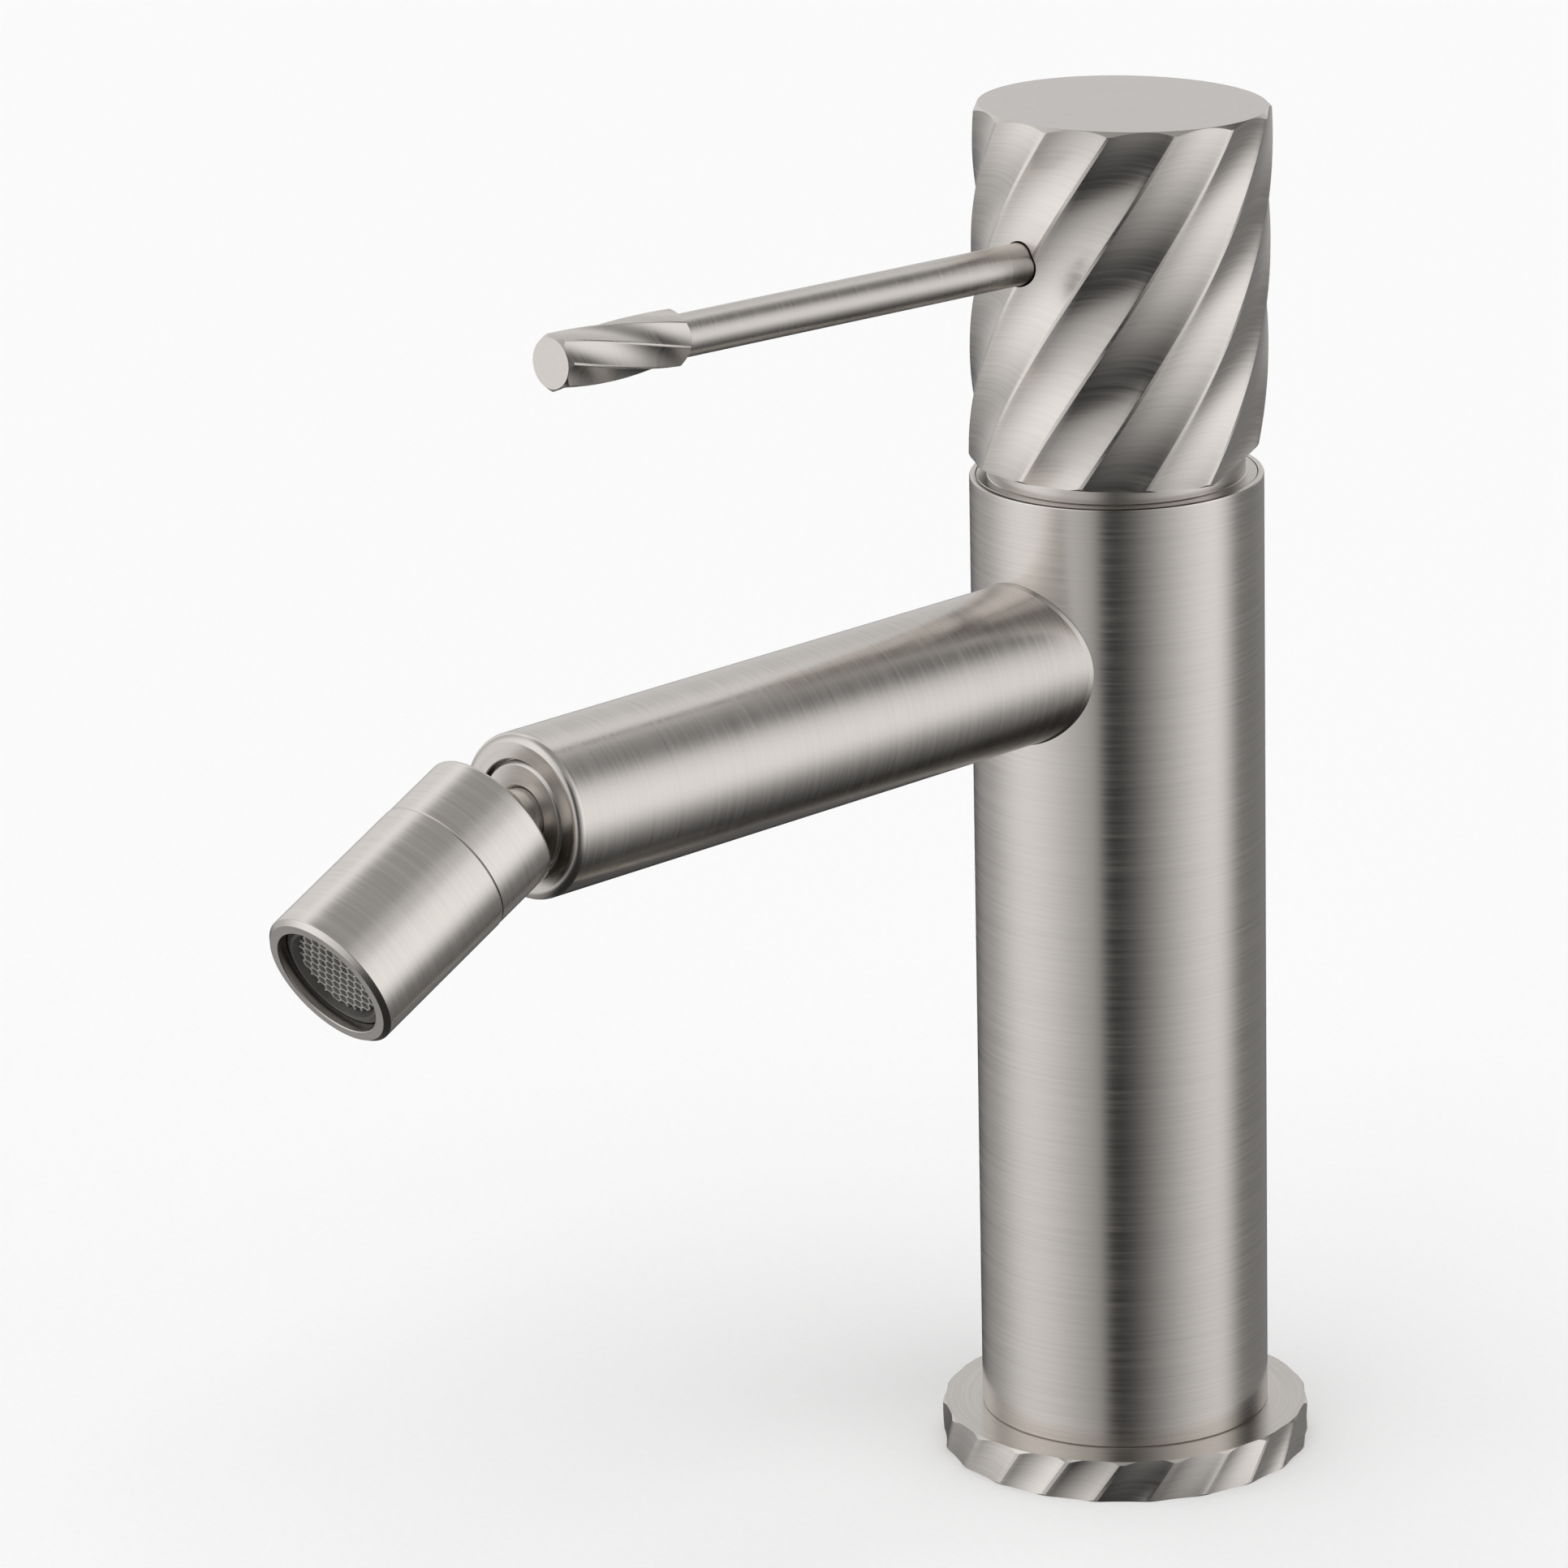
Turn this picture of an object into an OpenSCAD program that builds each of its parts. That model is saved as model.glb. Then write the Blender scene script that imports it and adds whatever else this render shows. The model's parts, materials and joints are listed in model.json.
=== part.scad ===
// Single lever bidet mixer: a fluted knob with a side lever on a round column, and a
// straight spout that ends in a swivelling nozzle. The origin is the middle of the
// underside, +Z is up, and the spout and the lever point along -Y.

/* [Body column] */
// Diameter of the column
body_d = 40; // [38:0.5:44]
// Bevel on the rim's outer edge
rim_bevel = 0.3; // [0.1:0.1:0.6]
// Diameter of the cartridge chamber
chamber_d = 28.4; // [28:0.1:29]
// Height of the chamber floor above the deck, which carries the cartridge and the rim
floor_h = 104; // [100:0.5:120]
// Diameter of the spigot that stands in the base flange
spigot_d = 34; // [30:0.5:35]

/* [Base flange] */
// Diameter over the ridges of the base flange
flange_d = 51.2; // [48:0.2:60]
// Height of the base flange
flange_h = 5.9; // [4:0.1:9]
// Number of flutes round the flange
flange_flutes = 21; // [14:1:28]
// Hollow of a flange flute below a flat face
flange_hollow = 0.2; // [0.05:0.01:0.3]
// Width of the land between two flange flutes
flange_land = 0.75; // [0.5:0.05:1.2]
// Twist of the flange flutes, degrees for each millimetre of height
flange_twist = 1.55; // [0:0.05:3]
// Height of the bevel on the flange's upper edge
flange_bevel_h = 1.05; // [0.5:0.05:1.5]
// Depth of the bevel on the flange's upper edge
flange_bevel_w = 0.45; // [0.3:0.05:0.8]
// Bevel on the flange's lower edge
flange_foot_bevel = 0.2; // [0.1:0.05:0.4]
// Width of the rubber ring under the flange
gasket_w = 2.4; // [1.5:0.1:3]
// Thickness of the rubber ring under the flange
gasket_t = 1.5; // [1:0.1:2]
// Gap between the column's spigot and the rubber ring's groove
gasket_inset = 3.5; // [2.5:0.1:4]

/* [Inlets and fixing] */
// Bore of the two tapped hose inlets, M10 x 1
inlet_d = 9; // [8:0.1:10]
// Distance between the two inlets
inlet_spacing = 12.8; // [12:0.1:14]
// Setback of the inlets towards the spout
inlet_setback = 3; // [2:0.1:4]
// Depth of the inlets' threads
inlet_depth = 30; // [12:1:40]
// Bore of the water passages above the inlets
passage_d = 7.2; // [6:0.1:8]
// Thickness of the wall between the passages and the cartridge chamber
passage_roof = 6; // [4:0.5:10]
// Bore of the two ports in the chamber floor
port_d = 5.2; // [4.4:0.1:5.6]
// Distance between the two ports in the chamber floor
port_spacing = 10; // [9:0.1:11]
// Bore of the tapped hole for the fixing stud, M8
stud_hole_d = 6.8; // [6:0.1:8]
// Depth of the stud hole
stud_hole_depth = 14; // [10:1:25]
// Distance of the stud hole behind the column's axis
stud_hole_back = 9.5; // [9:0.1:11]

/* [Spout] */
// Diameter of the spout
spout_d = 22; // [20:0.2:24]
// Distance from the column's axis to the spout's end face
spout_reach = 111; // [100:1:160]
// Height of the spout's axis above the chamber floor
spout_rise = 13.4; // [12:0.1:15]
// Depth of the saddle that the spout's end lies round the column with
saddle_depth = 4; // [3.5:0.1:6]
// Radius on the spout's end edge
spout_edge_r = 1.2; // [0.6:0.1:2]
// Bore of the spout
spout_bore_d = 12; // [11:0.1:12.4]
// Outer diameter of the threaded nipple between column and spout
nipple_d = 14; // [13.5:0.1:15]
// Bore of the nipple
nipple_bore_d = 10.4; // [9:0.1:11]
// Length of the nipple inside the spout
nipple_in_spout = 14; // [10:0.5:20]
// Thickness of the rubber ring round the nipple
nipple_ring_t = 0.8; // [0.6:0.05:1]
// Distance of the nipple's rubber ring from its end in the spout
nipple_ring_back = 4; // [2:0.5:6]

/* [Swivel] */
// Diameter of the ball
ball_d = 12; // [11.6:0.1:12.4]
// Distance of the ball's centre beyond the spout's end face
ball_out = 6.5; // [6.3:0.05:8]
// Diameter of the neck that carries the ball
neck_d = 7.7; // [7:0.1:7.8]
// Water bore through the neck and ball
swivel_bore_d = 5.2; // [4:0.1:5.6]
// Diameter of the wide mouth at the spout's end
mouth_d = 15.4; // [15.2:0.1:16]
// Depth of the wide mouth
mouth_depth = 1.7; // [1.2:0.1:2.2]
// Diameter of the retaining ring's face
ring_face_d = 14.7; // [14.4:0.1:15]
// Thread diameter of the retaining ring
ring_thread_d = 14; // [13.6:0.1:14.2]
// Length of the retaining ring
ring_length = 6.4; // [5:0.1:8]
// How far the ring's face lies inside the spout's end
ring_recess = 0.15; // [0.05:0.05:0.5]
// Bevel on the edges of the retaining ring's face
ring_bevel = 0.4; // [0.2:0.05:0.5]
// Diameter of the stem's flange behind the ring
stem_flange_d = 13.4; // [12.8:0.1:13.6]
// Thickness of the stem's flange
stem_flange_t = 1.5; // [1:0.1:2]
// Length of the stem's spigot behind its flange
stem_spigot = 5; // [4:0.1:7]
// Thickness of the rubber ring round the stem's spigot
stem_ring_t = 1.5; // [1.2:0.1:1.8]
// End play of the turning stem and of the retaining ring's face
stem_play = 0.1; // [0.05:0.01:0.15]
// Play between the stem's spigot and the spout's bore
spigot_play = 0.15; // [0.1:0.01:0.2]
// How far the nozzle hangs down, in degrees
nozzle_drop = 27; // [0:1:28]

/* [Nozzle] */
// Diameter of the nozzle
nozzle_d = 20; // [19.6:0.1:22]
// Step from the nozzle to its slightly smaller collar
collar_step = 0.06; // [0.02:0.02:0.2]
// Length of the collar
collar_length = 9.7; // [9:0.1:12]
// How far the collar reaches behind the ball's centre
collar_back = 1.85; // [1.8:0.05:1.9]
// Radius on the collar's rear edge
collar_edge_r = 0.5; // [0.3:0.1:0.8]
// Length of the shell in front of the collar
shell_length = 22.5; // [20:0.5:30]
// Depth of the fine seam between collar and shell
seam_w = 0.14; // [0.05:0.01:0.2]
// Bevel on the shell's lip
lip_bevel = 0.65; // [0.3:0.05:1]
// Diameter of the shell's opening
opening_d = 16; // [15.8:0.1:16.4]
// Depth of the aerator behind the lip
aerator_recess = 1.3; // [0.8:0.1:2]
// Diameter of the thread between collar and shell
shell_thread_d = 16.6; // [16.4:0.1:17]
// Diameter of the water bore in the shell
shell_water_d = 11; // [10.5:0.1:11.5]
// Thickness of the ball's rubber ring
ball_ring_t = 1.5; // [1.4:0.05:1.6]
// Room round the rubber ring in its pocket
ring_pocket_play = 0.25; // [0.2:0.01:0.3]
// Angle from the nozzle's axis at which the ring touches the ball
ball_ring_angle = 65; // [63:0.5:66]
// Length of the plastic ball seat
seat_length = 3.2; // [3:0.1:4]
// Length of the ball seat that the shell's spigot leaves free
seat_lead = 0.5; // [0.4:0.05:0.7]
// Bore of the plastic ball seat
seat_bore_d = 8.4; // [7.6:0.1:9]

/* [Aerator] */
// Length of the aerator's plastic housing
aerator_length = 8.7; // [7:0.1:10]
// Width of the housing's flat outer step
aerator_step_w = 0.7; // [0.4:0.1:1]
// Depth of the housing's outer step
aerator_step_h = 0.35; // [0.2:0.05:0.6]
// Width of the housing's raised ring inside that step
aerator_land_w = 0.45; // [0.3:0.05:0.6]
// Width of the ledge that holds the honeycomb
grille_hold_w = 0.5; // [0.4:0.05:0.6]
// Diameter of the honeycomb
grille_d = 12.5; // [12:0.1:13]
// Thickness of the honeycomb
grille_t = 1.2; // [0.8:0.1:2]
// Depth of the honeycomb behind the housing's face
grille_recess = 1.1; // [0.5:0.1:1.6]
// Distance between two cells of the honeycomb
cell_pitch = 1.12; // [1.1:0.01:1.6]
// Width of the web between two cells
cell_web = 0.22; // [0.18:0.01:0.4]
// Thickness of the plate with the jet holes
jet_plate_t = 1; // [0.8:0.1:1.5]
// Diameter of a jet hole
jet_hole_d = 1; // [0.8:0.1:1.4]
// Number of jet holes
jet_holes = 10; // [8:1:12]
// Thickness of the aerator's sealing washer
washer_t = 1.2; // [1:0.1:1.5]

/* [Knob] */
// Diameter over the ridges of the knob
knob_d = 40.3; // [38:0.1:46]
// Height of the knob
knob_h = 48.8; // [45:0.2:60]
// Number of flutes round the knob
knob_flutes = 14; // [10:1:18]
// Hollow of a knob flute below a flat face
knob_hollow = 0.16; // [0.05:0.01:0.3]
// Width of the land between two knob flutes
knob_land = 0.67; // [0.4:0.01:1.2]
// Twist of the knob flutes, degrees for each millimetre of height
knob_twist = 1.8; // [0:0.05:2.5]
// Height of the bevel on the knob's upper edge
knob_bevel_h = 0.8; // [0.5:0.05:1.5]
// Depth of the bevel on the knob's upper edge
knob_bevel_w = 0.55; // [0.4:0.05:0.8]
// Bevel on the knob's lower edge
knob_foot_bevel = 0.3; // [0.1:0.05:0.5]
// Diameter of the cavity inside the knob
cavity_d = 36.6; // [36.4:0.1:37]
// Thickness of the knob's top
knob_top_t = 3.4; // [2.5:0.1:5]
// Diameter of the boss inside the knob
boss_d = 24; // [22:0.5:26]
// Gap between the cover's round top and the boss
boss_gap = 1; // [0.8:0.1:1.5]
// Slope of the oblique cut that lets the knob lean back, in degrees
cut_slope = 20; // [19:0.5:22]
// Distance in front of the knob's axis at which the oblique cut starts
cut_start = 2.5; // [2:0.1:4]
// How far the lever is lifted as drawn, in degrees
lever_lift = 2; // [0:0.5:18]

/* [Lever] */
// Height of the lever above the pivot
lever_h = 34.6; // [33:0.1:36]
// Diameter of the lever rod
rod_d = 5.7; // [5:0.1:6.2]
// Gap round the rod where it enters the knob
rod_gap = 0.22; // [0.15:0.01:0.4]
// Distance from the knob's axis to the lever's end
lever_reach = 104.6; // [90:0.5:130]
// Length of the fluted tip
tip_length = 21.5; // [18:0.5:30]
// Diameter over the ridges of the tip
tip_d = 7.6; // [7.2:0.1:9]
// Number of flutes round the tip
tip_flutes = 7; // [5:1:8]
// Hollow of a tip flute below a flat face
tip_hollow = 0.14; // [0.05:0.01:0.2]
// Width of the land between two tip flutes
tip_land = 0.3; // [0.2:0.05:0.5]
// Twist of the tip flutes, degrees for each millimetre of length
tip_twist = 3.4; // [0:0.1:5]
// Length of the bevel on the tip's ends
tip_bevel_h = 0.6; // [0.3:0.05:1]
// Depth of the bevel on the tip's ends
tip_bevel_w = 0.5; // [0.3:0.05:0.6]
// Diameter of the studs at the rod's ends, M4
rod_stud_d = 3.9; // [3.5:0.1:4]
// Length of the stud inside the tip
tip_stud = 11; // [8:0.5:14]

/* [Cartridge] */
// Depth of the lever's pivot below the rim
pivot_drop = 3; // [2.8:0.1:3.2]
// Gap between the rim and the knob's foot
knob_gap = 1.8; // [1.6:0.1:2.4]
// Diameter of the cartridge housing
housing_d = 25; // [24.8:0.1:25.4]
// Wall of the cartridge housing
housing_wall = 1.1; // [1:0.05:1.2]
// Height of the cartridge base
cartridge_base_h = 8; // [7.5:0.1:8.5]
// Height of the base's foot
base_foot_h = 1.5; // [1:0.1:2]
// Gap under the housing's skirt where the water leaves
outlet_window_h = 5; // [4:0.1:5.5]
// Thickness of the rubber plate under the discs
disc_gasket_t = 1.5; // [1.2:0.1:1.8]
// Thickness of a ceramic disc
disc_t = 3.5; // [3.2:0.1:3.6]
// Play between the fixed disc and the housing's bore
disc_play = 0.2; // [0.1:0.05:0.3]
// Width of the ring of the fixed disc that lies outside the moving disc
disc_margin = 2.8; // [2.6:0.1:3]
// Distance of the moving disc behind the stem's ball end
moving_disc_back = 2.2; // [2:0.1:2.4]
// Diameter of the hot and the cold port in the fixed disc
disc_port_d = 2.8; // [2.2:0.1:3]
// Distance between the two ports in the fixed disc
disc_port_spacing = 6; // [5.8:0.1:6.4]
// Setback of those ports towards the spout
disc_port_setback = 3.2; // [3:0.1:3.4]
// Diameter of the outlet port in the fixed disc
outlet_port_d = 3.4; // [3:0.1:3.6]
// Distance of the outlet port behind the axis
outlet_port_back = 1.9; // [1.7:0.1:2.1]
// Width of the mixing chamber under the moving disc
mixing_w = 5.2; // [4.4:0.1:5.4]
// Depth of the mixing chamber under the moving disc
mixing_depth = 1.8; // [1.2:0.1:2.2]
// Distance from the stem's ball end to the mixing chamber's front
mixing_front = 1.3; // [1:0.1:1.4]
// Wall left round the mixing chamber
mixing_wall = 1.8; // [1.5:0.1:2.2]
// Length of the channels in the cartridge base
channel_h = 4.5; // [4.2:0.1:5]
// Diameter of the rubber seals under the cartridge
seal_d = 7.8; // [7.2:0.1:8]
// Thickness of the rubber seals under the cartridge
seal_t = 1.4; // [1:0.1:1.8]
// Diameter of the pins that stop the cartridge turning
locating_pin_d = 2.4; // [2:0.1:2.6]
// Length of those pins below the base
locating_pin_h = 2.5; // [2:0.1:3]
// Distance of those pins from the axis
locating_pin_at = 9.6; // [9.4:0.1:10]
// Height of the plastic carrier on the moving disc
carrier_h = 4.9; // [4.6:0.1:5]
// Width across the carrier's flats
carrier_flats = 11.5; // [11:0.1:12]
// Distance from the pivot down to the stem's ball end
stem_arm = 14; // [13.8:0.1:14.2]
// Height of the stem's ball end above the carrier's underside
stem_ball_h = 2.77; // [2.6:0.01:3]
// Play of the ball end in the carrier's socket
socket_play = 0.15; // [0.1:0.05:0.2]
// Thickness of the carrier's floor under the ball end
socket_floor = 0.5; // [0.4:0.05:0.6]
// Diameter of the stem's ball end
stem_ball_d = 4; // [3.6:0.1:4.2]
// Diameter of the stem just above its ball end
stem_waist_d = 2.2; // [1.8:0.1:2.4]
// Width of the stem's square
stem_square = 8; // [7:0.1:8.4]
// How far the stem reaches above the pivot
stem_top = 38.6; // [37.5:0.1:40]
// Distance from the pivot down to the hub's underside
stem_hub_h = 3; // [2.5:0.1:3.4]
// Diameter of the pivot pin
pin_d = 3; // [2.5:0.1:3.2]
// Diameter of the turning guide
rotor_d = 18; // [17.6:0.1:18.2]
// Height of the turning guide's top above the pivot
rotor_rise = 3.5; // [3:0.1:3.8]
// Depth of the housing's stop for the turning guide below the nut's seat
rotor_stop_drop = 2.8; // [2.5:0.1:3]
// Thickness of the turning guide's flange
rotor_flange_t = 2.1; // [1.8:0.1:2.2]
// Play of the stem between the turning guide's cheeks
cheek_play = 0.1; // [0.05:0.01:0.15]
// Width of the turning guide's legs
rotor_leg_w = 1.5; // [1.2:0.1:1.8]
// Length of the turning guide's legs
rotor_leg_l = 11; // [9:0.5:12]
// Depth of the turning guide's legs below its flange
rotor_leg_h = 3.3; // [2.5:0.1:3.8]
// Length of the slot in the turning guide
rotor_slot = 12.4; // [12:0.1:13]
// Diameter of the rubber ring's cord round the housing
housing_ring_t = 1.24; // [1.1:0.02:1.3]
// Height of the housing's flange
housing_flange_h = 5; // [4.5:0.1:5.5]
// Height of the housing's neck above the pivot
housing_neck_h = 2.2; // [1.8:0.1:2.4]
// Diameter of the thread above the chamber, M30
thread_d = 30; // [29.6:0.1:30.4]
// Depth of the clamping nut's seat below the pivot
nut_seat_drop = 6.3; // [6:0.1:6.6]
// Height of the clamping nut
nut_h = 4; // [3.5:0.1:4.2]
// Width of the clamping nut's key slots
nut_slot_w = 3; // [2:0.5:4]
// Depth of the clamping nut's key slots
nut_slot_h = 2; // [1.5:0.1:2.4]
// Diameter of the neck on the housing
housing_neck_d = 21; // [20.6:0.1:21.2]

/* [Cover] */
// Diameter of the cover's skirt
cover_d = 35; // [34:0.1:35.4]
// Diameter of the cover's flange
cover_flange_d = 38.2; // [37.8:0.1:38.6]
// Thickness of the cover's flange
cover_flange_t = 2.05; // [1.8:0.05:2.2]
// Radius of the cover's rounded top about the pivot
cover_round_r = 18.6; // [18.4:0.05:18.65]
// Wall of the cover
cover_wall = 1.8; // [1.5:0.1:2]
// Thickness of the cover's web between its spigot and its skirt
cover_web = 1; // [0.8:0.1:1.2]
// Wall of the cover's spigot in the thread
cover_spigot_wall = 1.6; // [1.4:0.1:1.8]
// Diameter of the cover's opening
cover_opening_d = 25; // [24:0.5:26]

/* [Knob fixing] */
// Diameter of the bush that grips the stem
bush_d = 14; // [13.5:0.1:15]
// Length of the bush
bush_length = 22.3; // [21:0.1:24]
// Diameter of the grub screw, M4
grub_d = 3.9; // [3.5:0.1:4]
// Length of the grub screw
grub_length = 4; // [3:0.1:4.2]
// Width across flats of the grub screw's socket
grub_socket = 2; // [1.5:0.1:2.2]
// Depth of the grub screw's socket
grub_socket_h = 1.8; // [1.2:0.1:2.2]

/* [Fits] */
// Gap between a spigot and its bore, or a male and female thread
thread_fit = 0.03; // [0.02:0.01:0.05]
// Radial play of a turning or sliding fit
running_fit = 0.05; // [0.03:0.01:0.08]
// Gap between pieces that pass each other
pass_gap = 0.3; // [0.2:0.05:0.4]
// Gap round the clamping nut
nut_clearance = 0.4; // [0.3:0.05:0.5]
// Gap at the fine joint between column and spout
joint_line = 0.05; // [0.03:0.01:0.1]

/* [Hidden] */
$fn = 96;
// Extra length that lets a cutter pass right through a face
over = 1;
// A cutter wide enough to clear any piece
wide = 80;
// Segments across one flute
flute_steps = 5;

// Cartridge heights, from the chamber floor up to the pivot and the rim
base_top = floor_h + cartridge_base_h;
disc_floor = base_top + disc_gasket_t;
disc_face = disc_floor + disc_t;
moving_floor = disc_face + thread_fit;
carrier_floor = moving_floor + disc_t;
carrier_top = carrier_floor + carrier_h;
pivot_h = carrier_floor + stem_ball_h + stem_arm;
rim_h = pivot_h + pivot_drop;
spout_h = floor_h + spout_rise;

// Heights that follow from the rim
knob_foot = pivot_drop + knob_gap;
knob_top = knob_foot + knob_h;
cover_seat_h = rim_h - cover_flange_t - joint_line;
nut_seat_h = pivot_h - nut_seat_drop;

// Radii of the ridges
knob_r = knob_d / 2;
flange_r = flange_d / 2;
tip_r = tip_d / 2;
chamber_r = chamber_d / 2;

// Ball joint
ball_r = ball_d / 2;
socket_r = ball_r + running_fit;
ball_reach = spout_reach + ball_out;
ring_front = spout_reach - ring_recess;
ring_back = ring_front - ring_length;
stem_flange_front = ring_back - stem_play;
stem_flange_back = stem_flange_front - stem_flange_t;
ball_ring_major = (socket_r + ball_ring_t / 2) * sin(ball_ring_angle);
ball_ring_z = (socket_r + ball_ring_t / 2) * cos(ball_ring_angle);
collar_front = collar_length - collar_back;
collar_r = nozzle_d / 2 - collar_step;
ring_pocket_r = ball_ring_major + ball_ring_t / 2 + ring_pocket_play;
ring_pocket_z = ball_ring_z - ball_ring_t / 2 - ring_pocket_play;
seat_z = ball_ring_z + ball_ring_t / 2 + running_fit;
seat_end = seat_z + seat_length;
shell_end = collar_front + shell_length;
shell_spigot_z = seat_z + seat_lead;

// Aerator
aerator_front = shell_end - aerator_recess;
aerator_back = aerator_front - aerator_length;
aerator_r = opening_d / 2 - 2 * running_fit;
grille_front = aerator_front - grille_recess;

// Cartridge diameters and heights under the nut
fixed_disc_d = housing_d - 2 * (housing_wall + disc_play);
moving_disc_d = fixed_disc_d - 2 * disc_margin;
housing_r = housing_d / 2;
housing_bore_r = housing_r - housing_wall;
rotor_r = rotor_d / 2;
housing_flange_floor = nut_seat_h - housing_flange_h;
rotor_stop_h = nut_seat_h - rotor_stop_drop;
stem_lag = stem_arm * sin(lever_lift);

// Lever
boss_r = boss_d / 2;
tip_start = lever_reach - tip_length;
boss_floor = cover_round_r + boss_gap;
grub_start = stem_square / 2 + running_fit;
grub_end = grub_start + grub_length;
bush_top = boss_floor + bush_length;

// Angle of a ridge on the knob's foot, of one on the flange's underside and of one on
// the tip's inner end, as the photograph shows them
knob_phase = -10;
flange_phase = -39.2;
tip_phase = -11.7;

// Distance from the axis to a flute, at an angle from the flute's middle
function flute_r(angle, mid_r, cutter_r) = let (centre = mid_r + cutter_r)
    centre * cos(angle) - sqrt(pow(cutter_r, 2) - pow(centre * sin(angle), 2));

// Outline of a bar with hollow flutes and narrow lands between them
function fluted_outline(ridge_r, count, hollow, land) =
    let (
        pitch = 360 / count,
        half = pitch / 2 - asin(land / 2 / ridge_r),
        mid_r = ridge_r * cos(half) - hollow,
        chord = ridge_r * sin(half),
        cutter_r = (pow(chord, 2) + pow(hollow, 2)) / (2 * hollow)
    )
    [for (k = [0:count - 1], i = [0:flute_steps])
        let (
            angle = half * (2 * i / flute_steps - 1),
            r = flute_r(angle, mid_r, cutter_r),
            turn = (k + 0.5) * pitch + angle
        )
        [r * cos(turn), r * sin(turn)]];

// A twisted fluted bar that stands on z = 0
module fluted_bar(ridge_r, count, hollow, land, length, twist_rate, slices, phase) {
    rotate([0, 0, phase])
        linear_extrude(height = length, twist = -twist_rate * length, slices = slices, convexity = 4)
            polygon(fluted_outline(ridge_r, count, hollow, land));
}

// A round envelope whose bevels trim the ridges at both ends
module bevel_envelope(ridge_r, length, low_w, low_h, high_w, high_h) {
    reach = 1.5;
    rotate_extrude()
        polygon([
            [0, 0],
            [ridge_r - low_w, 0],
            [ridge_r + low_w * (reach - 1), low_h * reach],
            [ridge_r + high_w * (reach - 1), length - high_h * reach],
            [ridge_r - high_w, length],
            [0, length]
        ]);
}

// A ring with a rectangular section
module tube(outer_r, inner_r, height) {
    difference() {
        cylinder(r = outer_r, h = height);
        translate([0, 0, -over])
            cylinder(r = inner_r, h = height + 2 * over);
    }
}

// A rubber ring with a round section
module o_ring(major_r, cord_d) {
    rotate_extrude()
        translate([major_r, 0])
            circle(d = cord_d, $fn = 32);
}

// Along the spout: z is the distance from the column's axis, and y is up
module along_spout(distance) {
    translate([0, -distance, spout_h])
        rotate([90, 0, 0])
            children();
}

// Along the nozzle: z is the distance from the ball's centre
module along_nozzle(distance) {
    translate([0, -ball_reach, spout_h])
        rotate([90 + nozzle_drop, 0, 0])
            translate([0, 0, distance])
                children();
}

// With the knob: the origin is the lever's pivot
module with_knob() {
    translate([0, 0, pivot_h])
        rotate([-lever_lift, 0, 0])
            children();
}

// Along the lever: z is the distance from the knob's axis
module along_lever(distance) {
    with_knob()
        translate([0, -distance, lever_h])
            rotate([90, 0, 0])
                children();
}

// The two hose inlets, or the two ports above them, on both sides of the middle
module at_inlets(spacing) {
    for (side = [-1, 1])
        translate([side * spacing / 2, -inlet_setback, 0])
            children();
}

module base_flange() {
    groove_r = spigot_d / 2 + gasket_inset;
    color("silver")
        difference() {
            intersection() {
                fluted_bar(flange_r, flange_flutes, flange_hollow, flange_land, flange_h,
                    flange_twist, 4, flange_phase);
                bevel_envelope(flange_r, flange_h, flange_foot_bevel, flange_foot_bevel,
                    flange_bevel_w, flange_bevel_h);
            }
            translate([0, 0, -over])
                cylinder(r = spigot_d / 2 + running_fit, h = flange_h + 2 * over);
            translate([0, 0, -over])
                tube(groove_r + gasket_w + running_fit, groove_r - running_fit, gasket_t + over);
        }
}

module base_gasket() {
    groove_r = spigot_d / 2 + gasket_inset;
    color("dimgray")
        tube(groove_r + gasket_w, groove_r, gasket_t);
}

// The column, turned from bar and bored for the inlets and the cartridge
module body_column() {
    body_r = body_d / 2;
    seat_r = cover_flange_d / 2 + 2 * running_fit;
    color("silver")
        difference() {
            union() {
                cylinder(d = spigot_d, h = flange_h + over);
                translate([0, 0, flange_h])
                    cylinder(r = body_r, h = rim_h - flange_h - rim_bevel);
                translate([0, 0, rim_h - rim_bevel])
                    cylinder(r1 = body_r, r2 = body_r - rim_bevel, h = rim_bevel);
            }
            translate([0, 0, floor_h])
                cylinder(r = chamber_r, h = rim_h);
            translate([0, 0, nut_seat_h])
                cylinder(r = thread_d / 2 + thread_fit, h = rim_h);
            translate([0, 0, cover_seat_h])
                cylinder(r = seat_r, h = rim_h);
            at_inlets(inlet_spacing) {
                translate([0, 0, -over])
                    cylinder(d = inlet_d, h = inlet_depth + over);
                cylinder(d = passage_d, h = floor_h - passage_roof);
            }
            at_inlets(port_spacing)
                translate([0, 0, floor_h - passage_roof - over])
                    cylinder(d = port_d, h = passage_roof + 2 * over);
            translate([0, stud_hole_back, -over])
                cylinder(d = stud_hole_d, h = stud_hole_depth + over);
            along_spout(chamber_r - over)
                cylinder(r = nipple_d / 2 + thread_fit, h = body_r);
            for (side = [-1, 1])
                translate([0, side * locating_pin_at, floor_h - locating_pin_h - pass_gap])
                    cylinder(r = locating_pin_d / 2 + running_fit, h = locating_pin_h + over);
        }
}

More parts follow.
